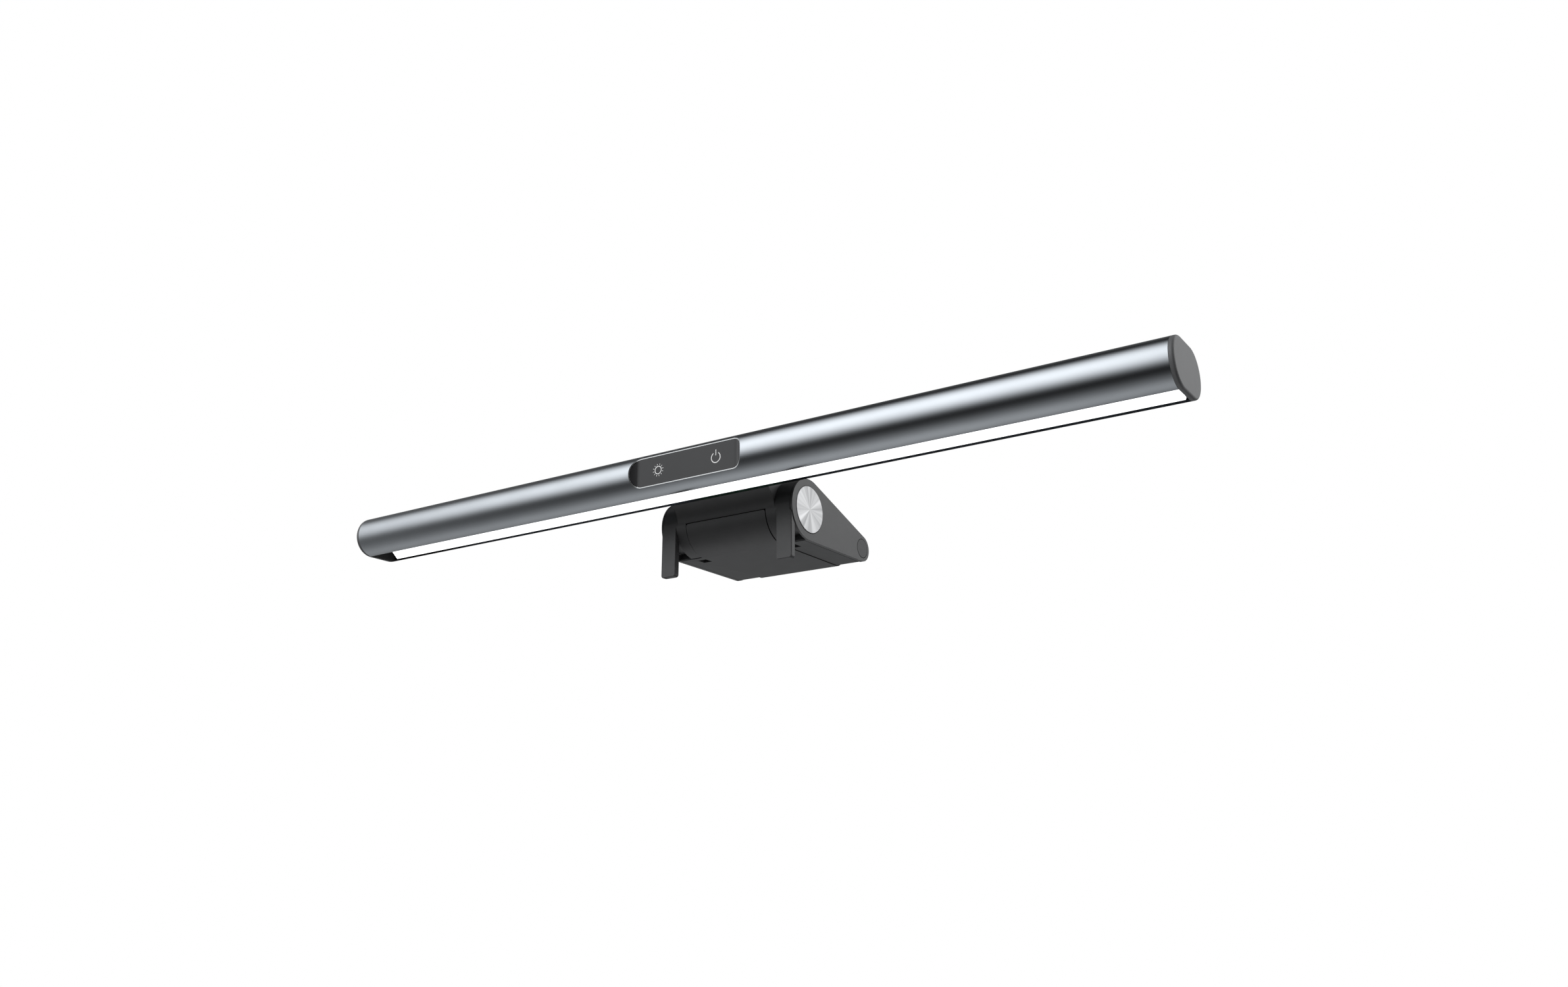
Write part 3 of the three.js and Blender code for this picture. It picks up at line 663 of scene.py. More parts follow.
def sloping_bar(name, s, t, low=-RIB_HALF, high=RIB_HALF):
    outline = [on_slope(s[0], t[0]), on_slope(s[0], t[1]), on_slope(s[1], t[1]), on_slope(s[1], t[0])]
    return prism(name, outline, low, high)


ribs = sloping_bar("ribs", (PLATE_WIDTH + 0.3, PLATE_WIDTH + 1.7), (-1.4, 8.4))
join(
    ribs,
    sloping_bar("lip", (PLATE_WIDTH - 1.2, PLATE_WIDTH + 1.0), (-1.4, -0.3)),
    box("keeper", (-RIB_HALF, RIB_HALF), (TUBE_Y - 5.45, TUBE_Y - 4.05),
        (TUBE_Z + 2.3, TUBE_Z + TUBE_R - 1.0)),
)
seat = sloping_bar("seat", (7.7, 9.3), (8.2, 15.2))
join(seat, sloping_bar("flange", (5.4, 11.8), (8.05, 9.3)))
for rib in (ribs, seat):
    trim(rib, prism("inside", tube_outline(TUBE_R - WALL / 2, 4.0), -RIB_HALF - 1, RIB_HALF + 1))
join(tube, ribs, seat)
cut(tube, sloping_bar("rebate", (-0.1, 4.0), (-0.6, PLATE_THICK + 0.1), -BAR_HALF, BAR_HALF))
print("tube with ribs", len(tube.data.polygons), "faces")

# %% [markdown]
# The touch control is not stuck on: the cutter scoops a flat out of the round front, with a ramp of
# 7.5 mm radius at both ends, and the cover lies in it. One function gives the depth of the scoop at
# any place along the bar. The cutter, the cover and its outline all use it, so they fit each other.

# %% Describe the scoop
SCOOP_DEPTH = 2.8
SCOOP_FLAT = 26.2
SCOOP_RAMP = 7.5
SCOOP_HALF = SCOOP_FLAT + math.sqrt(SCOOP_RAMP ** 2 - (SCOOP_RAMP - SCOOP_DEPTH) ** 2)
RIM = 0.4
COVER_GAP = 0.07
FRONT_Y = TUBE_Y - TUBE_FLAT - TUBE_R


def scoop_y(x):
    run = max(0.0, abs(x) - SCOOP_FLAT)
    rise = SCOOP_RAMP - math.sqrt(max(0.0, SCOOP_RAMP ** 2 - run ** 2))
    return FRONT_Y + SCOOP_DEPTH - rise


def scoop_cutter(set_back):
    """All that lies in front of the scooped face, moved back by set_back."""
    outer = SCOOP_HALF + 1.1
    steps = 24
    right = [SCOOP_FLAT + (outer - SCOOP_FLAT) * i / steps for i in range(steps + 1)]
    places = [-x for x in reversed(right)] + right
    outline = [(x, scoop_y(x) + set_back) for x in places]
    outline += [(outer, FRONT_Y - 3.0), (-outer, FRONT_Y - 3.0)]
    return prism("cutter", outline, TUBE_Z - 12.0, TUBE_Z + 12.0, along_z)


def scoop_outline(inset, steps=30):
    """Where the scoop meets the round front, drawn smaller by inset."""
    full = math.sqrt(TUBE_R ** 2 - (TUBE_R - SCOOP_DEPTH) ** 2)
    quarter = []
    for i in range(steps + 1):
        x = SCOOP_FLAT + (SCOOP_HALF - SCOOP_FLAT) * math.sin(math.pi / 2 * i / steps)
        depth = scoop_y(x) - FRONT_Y
        z = math.sqrt(max(0.0, TUBE_R ** 2 - (TUBE_R - depth) ** 2)) if i < steps else 0.0
        quarter.append((x * (SCOOP_HALF - inset) / SCOOP_HALF, z * (full - inset) / full))
    upper = [(-x, z) for x, z in quarter[::-1]] + quarter
    lower = [(x, -z) for x, z in reversed(upper[1:-1])]
    return [(x, TUBE_Z + z) for x, z in upper + lower]


print("scoop length", round(2 * SCOOP_HALF, 1))

# %% [markdown]
# Now the cuts: the scoop, the opening behind the cover, two holes for the tilt screws and the long
# round hole of the power socket. After cutting, a face belongs to the fresh cut if all its corners
# lie on the scooped face. It is given the second material, which draws the bright line round the cover.

# %% Cut the tube and mark the bright rim
SCREW_X = 16.0
SCREW_ANGLE = 10.0
SOCKET_X = 62.0
SOCKET_Y = TUBE_Y + TUBE_FLAT + TUBE_R


def radial_rod(name, radius, near, far, x, step=12.0):
    """A rod that points from the tilt centre through the back of the tube."""
    rod = prism(name, arc(radius, 0, 360 - step, (x, 0.0), step), near, far, along_y)
    turn_up = math.radians(SCREW_ANGLE)
    for vertex in rod.data.vertices:
        _, out, across = vertex.co
        vertex.co.y = TILT_Y * MM + out * math.cos(turn_up) - across * math.sin(turn_up)
        vertex.co.z = TILT_Z * MM + out * math.sin(turn_up) + across * math.cos(turn_up)
    return rod


def socket_prism(name, half, radius, low, high, step=6.0):
    outline = arc(radius, -90, 90, (SOCKET_X + half, TUBE_Z), step)
    outline += arc(radius, 90, 270, (SOCKET_X - half, TUBE_Z), step)
    return prism(name, outline, low, high, along_y)


cut(
    tube,
    scoop_cutter(0.0),
    prism("opening", scoop_outline(RIM), TUBE_Y - 20.0, TUBE_Y - 8.0, along_y),
    socket_prism("socket_hole", 3.2, 3.35, SOCKET_Y - 4.9, SOCKET_Y + 2.0),
    radial_rod("hole", 1.7, 8.0, 12.0, SCREW_X),
    radial_rod("hole", 1.7, 8.0, 12.0, -SCREW_X),
)
smooth(tube, 28.0)
dress(tube, "lamp", anodised, "anodised_aluminium", "lamp_tube")
tube.data.materials.append(fresh_cut)
bright = 0
for face in tube.data.polygons:
    corners = [tube.data.vertices[i].co / MM for i in face.vertices]
    reach = max(abs(corner.x) for corner in corners)
    off_scoop = max(abs(corner.y - scoop_y(corner.x)) for corner in corners)
    if reach < SCOOP_HALF + 0.5 and off_scoop < 0.03:
        face.material_index = 1
        bright += 1
print("bright rim faces", bright)

# %% [markdown]
# ## End caps
#
# Each end is closed by a moulded cap with a short plug. The cap is a skin over ribs that shrink
# along a quarter circle, which gives the rounded outer edge exactly, with no bevel needed.

# %% Skin the end caps
CAP_ROUND = 1.0
PLUG = 2.4


def cap_ribs(side):
    ribs = [(TUBE_HALF - PLUG, TUBE_R - WALL - 0.45), (TUBE_HALF - PLUG + 0.15, TUBE_R - WALL - 0.3)]
    ribs += [(TUBE_HALF, TUBE_R - WALL - 0.3), (TUBE_HALF, TUBE_R - 0.12), (TUBE_HALF + 0.12, TUBE_R)]
    for i in range(9):
        turned = math.radians(90.0 * i / 8)
        run = BAR_HALF - CAP_ROUND + CAP_ROUND * math.sin(turned)
        ribs.append((run, TUBE_R - CAP_ROUND + CAP_ROUND * math.cos(turned)))
    return [(side * run, tube_outline(radius, 3.0)) for run, radius in ribs]


for side, hand in ((1, "right"), (-1, "left")):
    cap = skin(f"cap_{hand}", cap_ribs(side))
    low, high = sorted((side * (TUBE_HALF - PLUG - 1), side * TUBE_HALF))
    cut(cap, sloping_bar("free", (-4.0, PLATE_WIDTH + 4), (-16.0, PLATE_THICK + 0.1), low, high))
    smooth(cap, 50.0)
    dress(cap, "lamp", cap_grey, "cap_grey", f"end_cap_{hand}")
    # The plug and the faces inside the tube get the darker black: painted shade for the inside of the tube.
    cap.data.materials.append(moulded_black)
    for face in cap.data.polygons:
        if abs(face.center.x) < (TUBE_HALF + 0.01) * MM:
            face.material_index = 1

# %% [markdown]
# ## The light plate and what is behind it
#
# The plate is a strip of opal acrylic. Behind it sits the LED board, which a user never sees, but
# it is there in the real lamp and it is there in ours. The plate glows for the camera only: it is
# hidden from diffuse and glossy rays, so it neither lights the clip nor shows in the metal.

# %% The glowing plate
plate = sloping_bar("light_plate", (0.0, PLATE_WIDTH), (0.0, PLATE_THICK), -PLATE_HALF, PLATE_HALF)
soften(plate, 0.18)
plate.visible_diffuse = False
plate.visible_glossy = False
dress(plate, "lamp", opal_glow, "opal", "diffuser_plate")

# %% [markdown]
# ## The touch cover
#
# The cover is the scoop's outline, drawn about half a millimetre smaller, cut to the scoop's own
# surface 0.15 mm deeper, so a bright ring of metal is left round it. Its ends climb the ramps. That
# is what makes the ends look dark: they mirror another part of the room.

# %% Cut the touch cover
cover = prism("touch_face", scoop_outline(RIM + COVER_GAP), FRONT_Y - 1.5,
              FRONT_Y + SCOOP_DEPTH + 1.7, along_y)
cut(cover, scoop_cutter(0.15))
smooth(cover, 30.0)
dress(cover, "lamp", touch_acrylic, "touch_cover", "touch_cover")

# %% [markdown]
# Two marks are printed on the cover, a sun for brightness and a ring with a bar for on and off. They
# are common signs, drawn here as thin raised shapes: rings and bars only 0.04 mm thick.

# %% Draw the marks
PRINT_BACK = FRONT_Y + SCOOP_DEPTH + 0.16
PRINT_FRONT = PRINT_BACK - 0.04


def ring_part(centre_x, inner, outer, start, end):
    centre = (centre_x, TUBE_Z)
    outline = arc(outer, start, end, centre, 5.0) + arc(inner, end, start, centre, 5.0)
    return prism("stroke", outline, PRINT_FRONT, PRINT_BACK, along_y)


def ray(centre_x, near, far, width, angle):
    turned = math.radians(angle)
    out = (math.cos(turned), math.sin(turned))
    side = (-out[1] * width / 2, out[0] * width / 2)
    ends = [(near, 1), (far, 1), (far, -1), (near, -1)]
    outline = [(centre_x + out[0] * r + side[0] * s, TUBE_Z + out[1] * r + side[1] * s) for r, s in ends]
    return prism("stroke", outline, PRINT_FRONT, PRINT_BACK, along_y)


def gather(name, strokes):
    """Puts separate strokes into one mesh."""
    points, faces = [], []
    for stroke in strokes:
        start = len(points)
        points += [tuple(vertex.co / MM) for vertex in stroke.data.vertices]
        faces += [[start + i for i in face.vertices] for face in stroke.data.polygons]
        bpy.data.objects.remove(stroke)
    return make_piece(name, points, faces)


SUN_X = -16.4
POWER_X = 16.7
sun = [ring_part(SUN_X, 1.62, 2.02, 0, 180), ring_part(SUN_X, 1.62, 2.02, 180, 360)]
sun += [ray(SUN_X, 2.42, 3.08, 0.26, 30 * i + 12) for i in range(12)]
dress(gather("sun_mark", sun), "lamp", print_with_painted_glow, "touch_cover")
power = [ring_part(POWER_X, 2.22, 2.66, 124, 416), ray(POWER_X, 1.0, 3.7, 0.40, 90)]
dress(gather("power_mark", power), "lamp", print_with_painted_glow, "touch_cover")

# %% [markdown]
# ## The bracket
#
# The bracket is the cleverest moulding of the lamp. One piece is the cradle that the tube tilts in,
# the sleeve that turns on the barrel, and the two hooks that hang in front of the screen. The
# sleeve is a ring with a window in it, where the flap's curled end sits. We make it cell by cell: a
# grid round the barrel, and a rule that says which cells have material.

# %% Build the sleeve from cells
SHELL_R = 14.6
SHELL_IN = 11.7
SHELL_HALF = 29.0
STRAP_HALF = 36.6
WINDOW_HALF = 23.15
WINDOW_TOP = math.degrees(math.asin(0.55 / SHELL_R)) + 180.0


def has_material(angle, x):
    if abs(x) < WINDOW_HALF:
        return angle < WINDOW_TOP
    if abs(x) < SHELL_HALF:
        return True
    return angle < 188.0


def sleeve():
    angles = [60.0 + 2.0 * i for i in range(61)] + [WINDOW_TOP] + [184.0 + 2.0 * i for i in range(40)]
    edges = [-STRAP_HALF, -SHELL_HALF, -WINDOW_HALF, WINDOW_HALF, SHELL_HALF, STRAP_HALF]
    cells = {
        (a, x)
        for a in range(len(angles) - 1)
        for x in range(len(edges) - 1)
        if has_material((angles[a] + angles[a + 1]) / 2, (edges[x] + edges[x + 1]) / 2)
    }
    points, index, faces = [], {}, []

    def corner(a, x, layer):
        key = (a, x, layer)
        if key not in index:
            index[key] = len(points)
            points.append((edges[x], *on_circle((SHELL_IN, SHELL_R)[layer], angles[a], BARREL)))
        return index[key]

    for a, x in sorted(cells):
        loop = [(a, x), (a + 1, x), (a + 1, x + 1), (a, x + 1)]
        beside = [(a, x - 1), (a + 1, x), (a, x + 1), (a - 1, x)]
        faces.append([corner(*at, 1) for at in loop])
        faces.append([corner(*at, 0) for at in reversed(loop)])
        for i in range(4):
            if beside[i] not in cells:
                first, second = loop[i], loop[(i + 1) % 4]
                faces.append([corner(*first, 0), corner(*second, 0), corner(*second, 1), corner(*first, 1)])
    return make_piece("bracket", points, faces)


bracket = sleeve()
print("sleeve", len(bracket.data.polygons), "faces")

# %% [markdown]
# The neck rises from the sleeve and hugs the back of the tube with a cradle. Its front is a curve
# from the sleeve to under the tube, its back another one down again. The tilt screws slide in two
# slots, and behind each slot a bay is hollowed out for the screw's head.

# %% Add the neck
NECK_HALF = 28.0
CRADLE_IN = TUBE_R + 0.4
CRADLE_OUT = CRADLE_IN + 2.4
TILT = (TILT_Y, TILT_Z)


def bend(start, pull, end, steps):
    """Points on a curve that leaves start towards pull and arrives at end from pull."""
    points = []
    for i in range(steps + 1):
        t = i / steps
        weights = ((1 - t) ** 2, 2 * t * (1 - t), t * t)
        points.append(tuple(sum(w * p[k] for w, p in zip(weights, (start, pull, end))) for k in (0, 1)))
    return points


def neck_outline():
    front = bend((BARREL_Y - SHELL_R, BARREL_Z - 0.55), (BARREL_Y - SHELL_R, BARREL_Z + 4.2),
                 on_circle(CRADLE_IN, -56, TILT), 16)
    back = bend(on_circle(CRADLE_OUT, 45, TILT), (BARREL_Y - 10.5, BARREL_Z + 16.5),
                on_circle(SHELL_R, 72, BARREL), 18)
    return front + arc(CRADLE_IN, -56, 45, TILT)[1:] + back + arc(13.0, 72, 182, BARREL)


def slot_sector(x):
    outline = arc(CRADLE_OUT + 1, SCREW_ANGLE - 27.5, SCREW_ANGLE + 27.5, TILT, 3.0)
    outline += arc(CRADLE_IN - 1, SCREW_ANGLE + 27.5, SCREW_ANGLE - 27.5, TILT, 3.0)
    return prism("slot", outline, x - 1.75, x + 1.75)


def bay(low, high):
    hollow = box("bay", (low, high), (BARREL_Y - 14.2, BARREL_Y + 14.0), (BARREL_Z + 4.0, BARREL_Z + 40.0))
    return cut(
        hollow,
        bar_along_x("keep", CRADLE_OUT, low - 1, high + 1, TILT, 3.0),
        bar_along_x("keep", SHELL_R, low - 1, high + 1, BARREL, 3.0),
    )


join(bracket, prism("neck", neck_outline(), -NECK_HALF, NECK_HALF))
cut(bracket, bay(9.0, 23.0), bay(-23.0, -9.0), slot_sector(SCREW_X), slot_sector(-SCREW_X))
print("sleeve and neck", len(bracket.data.polygons), "faces")

# %% [markdown]
# The hooks are flat fingers that drop straight down from the front of the sleeve. Each has rounded
# lower corners and is cut away where it would rub on the clip's side cheek.

# %% Hang the hooks
HOOK_OUT = 37.5
HOOK_THICK = 3.05
HOOK_ROUND = 0.45
PAD_SEAT = 0.65
HOOK_LOW = BARREL_Z - 25.6
HOOK_FRONT = BARREL_Y - SHELL_R
CHEEK_IN = 35.9


def rounded_rectangle(low, high, bottom, top, radius, step=15.0):
    return (arc(radius, 180, 270, (low + radius, bottom + radius), step)
            + arc(radius, 270, 360, (high - radius, bottom + radius), step)
            + arc(radius, 0, 90, (high - radius, top - radius), step)
            + arc(radius, 90, 180, (low + radius, top - radius), step))


def hook(side):
    low, high = sorted((side * SHELL_HALF, side * HOOK_OUT))
    outline = (arc(1.3, 180, 270, (low + 1.3, HOOK_LOW + 1.3), 15.0)
               + arc(1.3, 270, 360, (high - 1.3, HOOK_LOW + 1.3), 15.0)
               + [(high, BARREL_Z), (low, BARREL_Z)])
    finger = prism("hook", outline, HOOK_FRONT, HOOK_FRONT + HOOK_THICK, along_y)
    soften(finger, HOOK_ROUND, 4, 60.0)
    near, far = sorted((side * STRAP_HALF, side * (HOOK_OUT + 1)))
    return cut(finger, bar_along_x("room", SHELL_R + 0.35, near, far, BARREL, 3.0))


join(bracket, hook(1), hook(-1))
soften(bracket, 0.22, 2, 32.0)
dress(bracket, "bracket", moulded_black, "moulded_black", "bracket_shell")
# Painted shade on the sleeve's walls beside the flap.
paint_gap_shade(bracket, 22.6, 23.8)

# %% [markdown]
# A rubber pad on the back of each hook keeps it from marking the screen. It is soft, so its corners
# are rounder than anything moulded hard, and fine ribs help it grip.

# %% Pads on the hooks


def ribbed_pad(name, outline, low, high, place, rib_run, rib_height, body, node):
    pad = prism(name, outline, low, high, place)
    ends = [point[1] for point in outline]
    tools = []
    height = min(ends) + 1.6
    while height < max(ends) - 1.4:
        groove = [(rib_run[0], height), (rib_run[1], height),
                  (rib_run[1], height + 0.5), (rib_run[0], height + 0.5)]
        tools.append(prism("groove", groove, *rib_height, place))
        height += 1.6
    cut(pad, *tools)
    soften(pad, 0.14)
    return dress(pad, body, pad_rubber, "silicone", node)


for side, hand in ((1, "right"), (-1, "left")):
    low, high = sorted((side * (SHELL_HALF + 0.9), side * (HOOK_OUT - 0.9)))
    outline = rounded_rectangle(low, high, HOOK_LOW + 0.9, HOOK_LOW + 13.9, 1.2)
    back = HOOK_FRONT + HOOK_THICK - PAD_SEAT + 0.8
    ribbed_pad(f"hook_grip_{hand}", outline, back - 0.78, back, along_y, (low + 0.8, high - 0.8),
               (back - 0.25, back + 0.3), "bracket", f"hook_pad_{hand}")

# %% [markdown]
# ## The arm
#
# The arm lies on top of the screen. Seen from the side it is a teardrop, big at the barrel and small
# at the rear pin. It is hollow: the flap folds up into it. We start from the full teardrop and take
# away, in the order that a mould maker would think of it.

# %% Hollow out the arm
RAIL_OUT = 35.6
RAIL_IN = 23.15
REAR_R = 6.4
ROOF = 2.2
CORE_R = 11.3
UNDER_Z = BARREL_Z - SHELL_R


def sweep_sector(low, high):
    """The space that the bracket's sleeve sweeps round the barrel."""
    outline = [BARREL] + arc(SHELL_R + 6, 32, 263.5, BARREL)
    return prism("sweep", outline, low, high)


arm = prism("arm", teardrop(SHELL_R - 0.3, REAR_R - 0.2), -RAIL_OUT, RAIL_OUT)
join(arm, box("underside", (-RAIL_OUT, RAIL_OUT), (BARREL_Y - 1, REAR_Y), (UNDER_Z, UNDER_Z + 1)))
cut(
    arm,
    sweep_sector(-RAIL_OUT - 1, RAIL_OUT + 1),
    prism("hollow", teardrop(SHELL_R - 0.3 - ROOF, REAR_R - 0.2 - ROOF), -RAIL_IN, RAIL_IN),
    box("below", (-RAIL_IN, RAIL_IN), (BARREL_Y - 2, REAR_Y + 20), (UNDER_Z - 2, REAR_Z + 1)),
    bar_along_x("knuckle_room", REAR_R + 0.8, -RAIL_IN, RAIL_IN, REAR, 4.0),
    box("tail", (-RAIL_IN, RAIL_IN), (REAR_Y - 1, REAR_Y + 20), (UNDER_Z - 2, REAR_Z + 20)),
)
join(arm, bar_along_x("core", CORE_R, -RAIL_OUT, RAIL_OUT, BARREL, 4.0))
print("arm before drilling", len(arm.data.polygons), "faces")

# %% [markdown]
# The barrel is drilled through for its axle, the tail for the rear pin, and two small pockets are
# left in the underside where the mould's lifters come out. The side faces have many corners, so
# a Triangulate modifier splits them, which gives tests of what touches what clean triangles.

# %% Drill the arm and finish it
PIN_R = 2.0


def pocket(side):
    low, high = sorted((side * 23.0, side * 28.4))
    return box("pocket", (low, high), (BARREL_Y + 2.3, BARREL_Y + 7.4), (UNDER_Z - 1, UNDER_Z + 3.4))


cut(
    arm,
    bar_along_x("bore", 5.6, -RAIL_OUT - 1, RAIL_OUT + 1, BARREL),
    bar_along_x("pin_hole", PIN_R + 0.15, -RAIL_OUT - 1, RAIL_OUT + 1, REAR, 12.0),
    pocket(1),
    pocket(-1),
)
soften(arm, 0.2, 2, 32.0)
dress(arm, "arm", moulded_black, "moulded_black", "arm_frame")
triangles = arm.modifiers.new("triangles", "TRIANGULATE")
triangles.min_vertices = 5
# Painted shade on the arm's inner walls beside the flap.
paint_gap_shade(arm, RAIL_IN - 0.05, RAIL_IN + 0.05)

# %% [markdown]
# ## Side cheeks, discs and pin covers
#
# A thin cheek closes each side of the clip. A metal disc is let into it over the barrel, and a small
# plastic cover over the rear pin. The disc is turned on a lathe, and its fine circles stretch every
# reflection. That comes from an anisotropic shader whose direction runs round the barrel axis. The
# light and dark wedges are painted reflections: a noise that knows only the direction from the
# disc's centre varies the metal's colour.

# %% Spin the metal for the discs
CHEEK_OUT = 37.9
DISC_R = 11.2
COVER_R = 4.7
spun_metal = finish("spun_metal", (0.60, 0.60, 0.605), 0.30, 1.0, grain=3000.0, depth=0.0006, vary=0.02)


def add_lathe_gleam(material):
    """Stretches reflections round the barrel axis and paints wedges of reflection into the metal's colour.
    """
    nodes, links = material.node_tree.nodes, material.node_tree.links
    shader = shader_of(material)
    shader.inputs["Anisotropic"].default_value = 0.7
    place = nodes.new("ShaderNodeTexCoord")
    centred = nodes.new("ShaderNodeVectorMath")
    centred.operation = "SUBTRACT"
    centred.inputs[1].default_value = (0.0, BARREL_Y * MM, BARREL_Z * MM)
    links.new(place.outputs["Object"], centred.inputs[0])
    unit = nodes.new("ShaderNodeVectorMath")
    unit.operation = "MULTIPLY"
    unit.inputs[1].default_value = (0.0, 1.0, 1.0)
    links.new(centred.outputs["Vector"], unit.inputs[0])
    outward = nodes.new("ShaderNodeVectorMath")
    outward.operation = "NORMALIZE"
    links.new(unit.outputs["Vector"], outward.inputs[0])
    grain_way = nodes.new("ShaderNodeVectorMath")
    grain_way.operation = "CROSS_PRODUCT"
    grain_way.inputs[1].default_value = (1.0, 0.0, 0.0)
    links.new(outward.outputs["Vector"], grain_way.inputs[0])
    links.new(grain_way.outputs["Vector"], shader.inputs["Tangent"])
    # Painted reflection: light and dark wedges in the base colour, set by the direction from the centre.
    wedges = nodes.new("ShaderNodeTexNoise")
    wedges.inputs["Scale"].default_value = 2.6
    wedges.inputs["Detail"].default_value = 3.0
    links.new(outward.outputs["Vector"], wedges.inputs["Vector"])
    strength = nodes.new("ShaderNodeValToRGB")
    strength.color_ramp.elements[0].position = 0.30
    strength.color_ramp.elements[1].position = 0.70
    strength.color_ramp.elements[0].color = (0.25, 0.25, 0.254, 1.0)
    strength.color_ramp.elements[1].color = (0.52, 0.52, 0.525, 1.0)
    links.new(wedges.outputs["Fac"], strength.inputs["Fac"])
    links.new(strength.outputs["Color"], shader.inputs["Base Color"])


add_lathe_gleam(spun_metal)
print("spun metal has", len(spun_metal.node_tree.nodes), "nodes")

# %% [markdown]
# The cheek is the arm's teardrop once more, with four round recesses. It also gets a pocket inside,
# where the bracket's side strap turns, so that strap and cheek meet without an open seam. Disc and
# cover are skins over shrinking circles, like the end caps.

# %% Make cheeks, discs and covers


def turned_disc(name, centre, side, profile, step=3.0):
    """profile is a list of (x, radius) pairs."""
    return skin(name, [(side * x, arc(radius, 0, 360 - step, centre, step)) for x, radius in profile])


def recess(name, side, radius, depth, centre):
    """A round cutter, let into the outside of the cheek by depth."""
    ends = sorted((side * (CHEEK_OUT - depth), side * (CHEEK_OUT + 1)))
    return bar_along_x(name, radius, *ends, centre, 4.0)


for side, hand in ((1, "right"), (-1, "left")):
    low, high = sorted((side * CHEEK_IN, side * CHEEK_OUT))
    cheek = prism(f"clip_cheek_{hand}", teardrop(SHELL_R, REAR_R, 2.5), low, high)
    near, far = sorted((side * (CHEEK_IN - 1), side * (STRAP_HALF + 0.25)))
    hub = bar_along_x("hub", CORE_R + 0.1, near - 1, far + 1, BARREL, 4.0)
    strap_room = cut(sweep_sector(near, far), hub)
    cut(
        cheek,
        strap_room,
        recess("disc_seat", side, DISC_R + 0.15, 1.0, BARREL),
        recess("cover_seat", side, COVER_R + 0.15, 0.8, REAR),
        recess("axle_hole", side, 2.6, 3.0, BARREL),
        recess("pin_hole", side, PIN_R + 0.15, 3.0, REAR),
    )
    soften(cheek, 0.28, 3, 35.0)
    dress(cheek, "arm", cheek_black, "cheek_black", f"cheek_{hand}")

    rise = CHEEK_OUT - 0.95
    profile = [(rise, DISC_R), (rise + 0.95, DISC_R), (rise + 1.1, DISC_R - 0.1), (rise + 1.2, DISC_R - 0.3)]
    disc = smooth(turned_disc(f"brushed_disc_{hand}", BARREL, side, profile), 25.0)
    dress(disc, "arm", spun_metal, "spun_metal", f"side_disc_{hand}")

    rise = CHEEK_OUT - 0.75
    profile = [(rise, COVER_R), (rise + 0.65, COVER_R), (rise + 0.8, COVER_R - 0.15)]
    lid = smooth(turned_disc(f"pin_lid_{hand}", REAR, side, profile, 5.0), 25.0)
    dress(lid, "arm", cover_black, "moulded_black", f"pin_cover_{hand}")

# %% [markdown]
# ## The flap
#
# The flap swings down behind the screen. At rest it lies in the arm, and its front end curls up into
# the sleeve's window, a touch proud of it. The curl and the floor are one drawing; ribs and the
# knuckle round the pin are joined on, and the two upper corners are nipped off round.

# %% Draw the flap
FLAP_HALF = 22.8
FLAP_THICK = 2.4
CURL_R = SHELL_R + 0.1
CURL = (BARREL_Y, BARREL_Z - 0.2)
FLAP_LOW = CURL[1] - CURL_R
REAR_STOP = REAR_Y - 2.0


def flap_outline():
    outside = arc(CURL_R, 183, 270, CURL)
    floor_line = [(REAR_Y, FLAP_LOW), (REAR_Y, FLAP_LOW + FLAP_THICK)]
    return outside + floor_line + arc(CURL_R - FLAP_THICK, 270, 183, CURL)


def flap_rib(side):
    low, high = sorted((side * 20.4, side * FLAP_HALF))
    foot = FLAP_LOW + 1.0
    outline = [(BARREL_Y + 3.0, foot), (REAR_STOP, foot), (REAR_STOP, foot + 6.2),
               (BARREL_Y + 12.5, foot + 6.2)]
    return prism("rib", outline, low, high)


def corner_nip(side, radius=1.1):
    """What is left over when a square upper corner is rounded."""
    edge = side * FLAP_HALF
    centre = (edge - side * radius, CURL[1] - CURL_R * math.sin(math.radians(3.0)) - radius)
    start = 0 if side > 0 else 180
    outline = arc(radius, start, 90, centre, 10.0)
    outline += [(edge - side * radius, centre[1] + 3.0), (edge + side * 2.0, centre[1] + 3.0),
                (edge + side * 2.0, centre[1])]
    return prism("nip", outline, HOOK_FRONT - 2.0, HOOK_FRONT + 5.0, along_y)


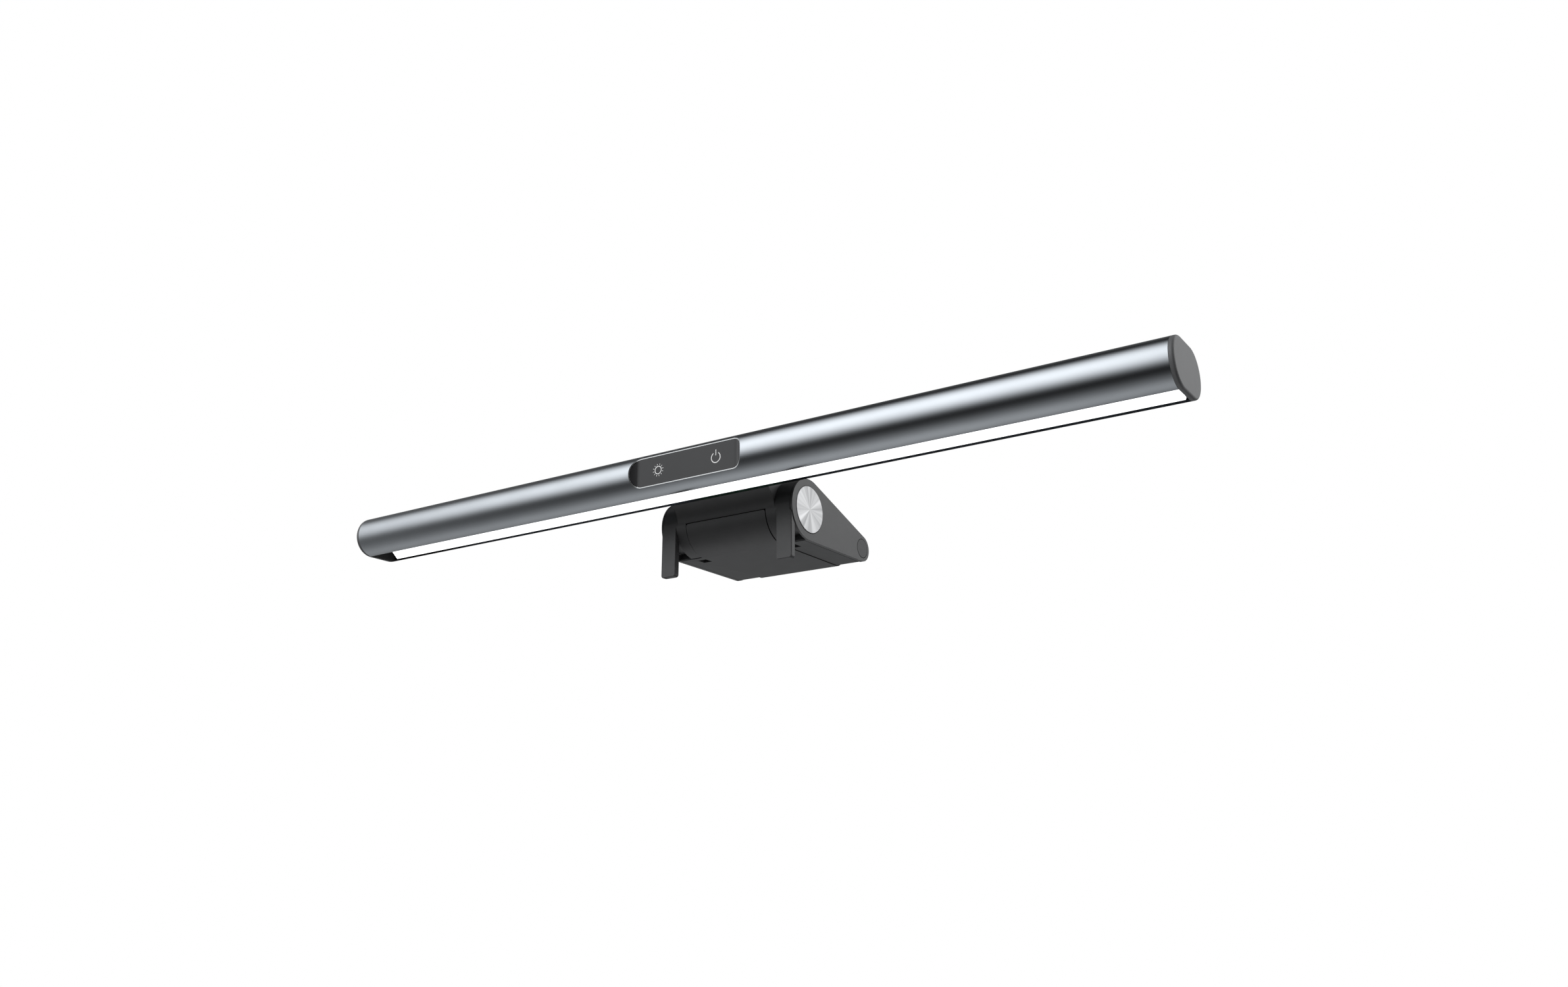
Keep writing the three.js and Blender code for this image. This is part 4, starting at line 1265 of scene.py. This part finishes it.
flap = prism("fold_flap", flap_outline(), -FLAP_HALF, FLAP_HALF)
join(flap, flap_rib(1), flap_rib(-1))
join(flap, bar_along_x("knuckle", REAR_Z - FLAP_LOW, -FLAP_HALF, FLAP_HALF, REAR, 4.0))
cut(
    flap,
    bar_along_x("pin_hole", PIN_R + 0.15, -FLAP_HALF - 1, FLAP_HALF + 1, REAR, 12.0),
    bar_along_x("spring_room", 4.6, 11.0, FLAP_HALF + 1, REAR, 6.0),
    corner_nip(1),
    corner_nip(-1),
)
soften(flap, 0.2, 2, 32.0)
dress(flap, "flap", moulded_black, "moulded_black", "flap")
# Painted shade on the flap's side walls.
paint_gap_shade(flap, FLAP_HALF - 0.05, FLAP_HALF + 0.05)

# %% [markdown]
# On top of the flap's floor lies a steel weight, and over it a ribbed pad that rests on the back of
# the screen's top edge.

# %% The flap's pad
FLAP_FLOOR = FLAP_LOW + FLAP_THICK
pad_outline = rounded_rectangle(-18.0, 18.0, BARREL_Y + 14.0, BARREL_Y + 36.0, 3.0)
ribbed_pad("flap_grip", pad_outline, FLAP_FLOOR + 3.25, FLAP_FLOOR + 4.45, along_z, (-16.5, 16.5),
           (FLAP_FLOOR + 4.15, FLAP_FLOOR + 4.8), "flap", "flap_pad")

# %% [markdown]
# ## Small parts kept from the CAD model
#
# Screws, pins, springs and boards already have the right shape. They come in as loose triangles, so
# each gets a Weld modifier to close it and an Edge Split that keeps only its true corners sharp, and
# then a finish of its own. Stored normals are dropped, so that the modifiers set the shading. No
# point of a mesh is moved.

# %% Give the CAD parts their finishes
board_white = finish("board_white", (0.72, 0.73, 0.71), 0.42, grain=1800.0, depth=0.004)
board_green = finish("board_green", (0.030, 0.110, 0.052), 0.38, grain=1500.0, depth=0.006, vary=0.2)
socket_black = finish("socket_black", (0.040, 0.040, 0.042), 0.40, grain=2600.0, depth=0.003)


def keep_cad(node, material, corner=35.0):
    part = frame["nodes"][node]
    if "custom_normal" in part.data.attributes:
        part.data.attributes.remove(part.data.attributes["custom_normal"])
    part.data.polygons.foreach_set("use_smooth", [True] * len(part.data.polygons))
    weld = part.modifiers.new("weld", "WELD")
    weld.merge_threshold = 0.002 * MM
    split_edges = part.modifiers.new("corners", "EDGE_SPLIT")
    split_edges.split_angle = math.radians(corner)
    part.data.materials.clear()
    part.data.materials.append(material)
    return part


kept = {
    "led_board": board_white, "touch_board": board_green, "power_socket": socket_black,
    "tilt_screw_right": steel, "tilt_screw_left": steel, "tilt_nut_plate": steel,
    "barrel_axle": steel, "barrel_spring": spring_steel, "rear_pin": steel,
    "flap_weight": cast_weight, "flap_spring": spring_steel,
}
for node, material in kept.items():
    keep_cad(node, material)
print("CAD parts kept:", len(kept))
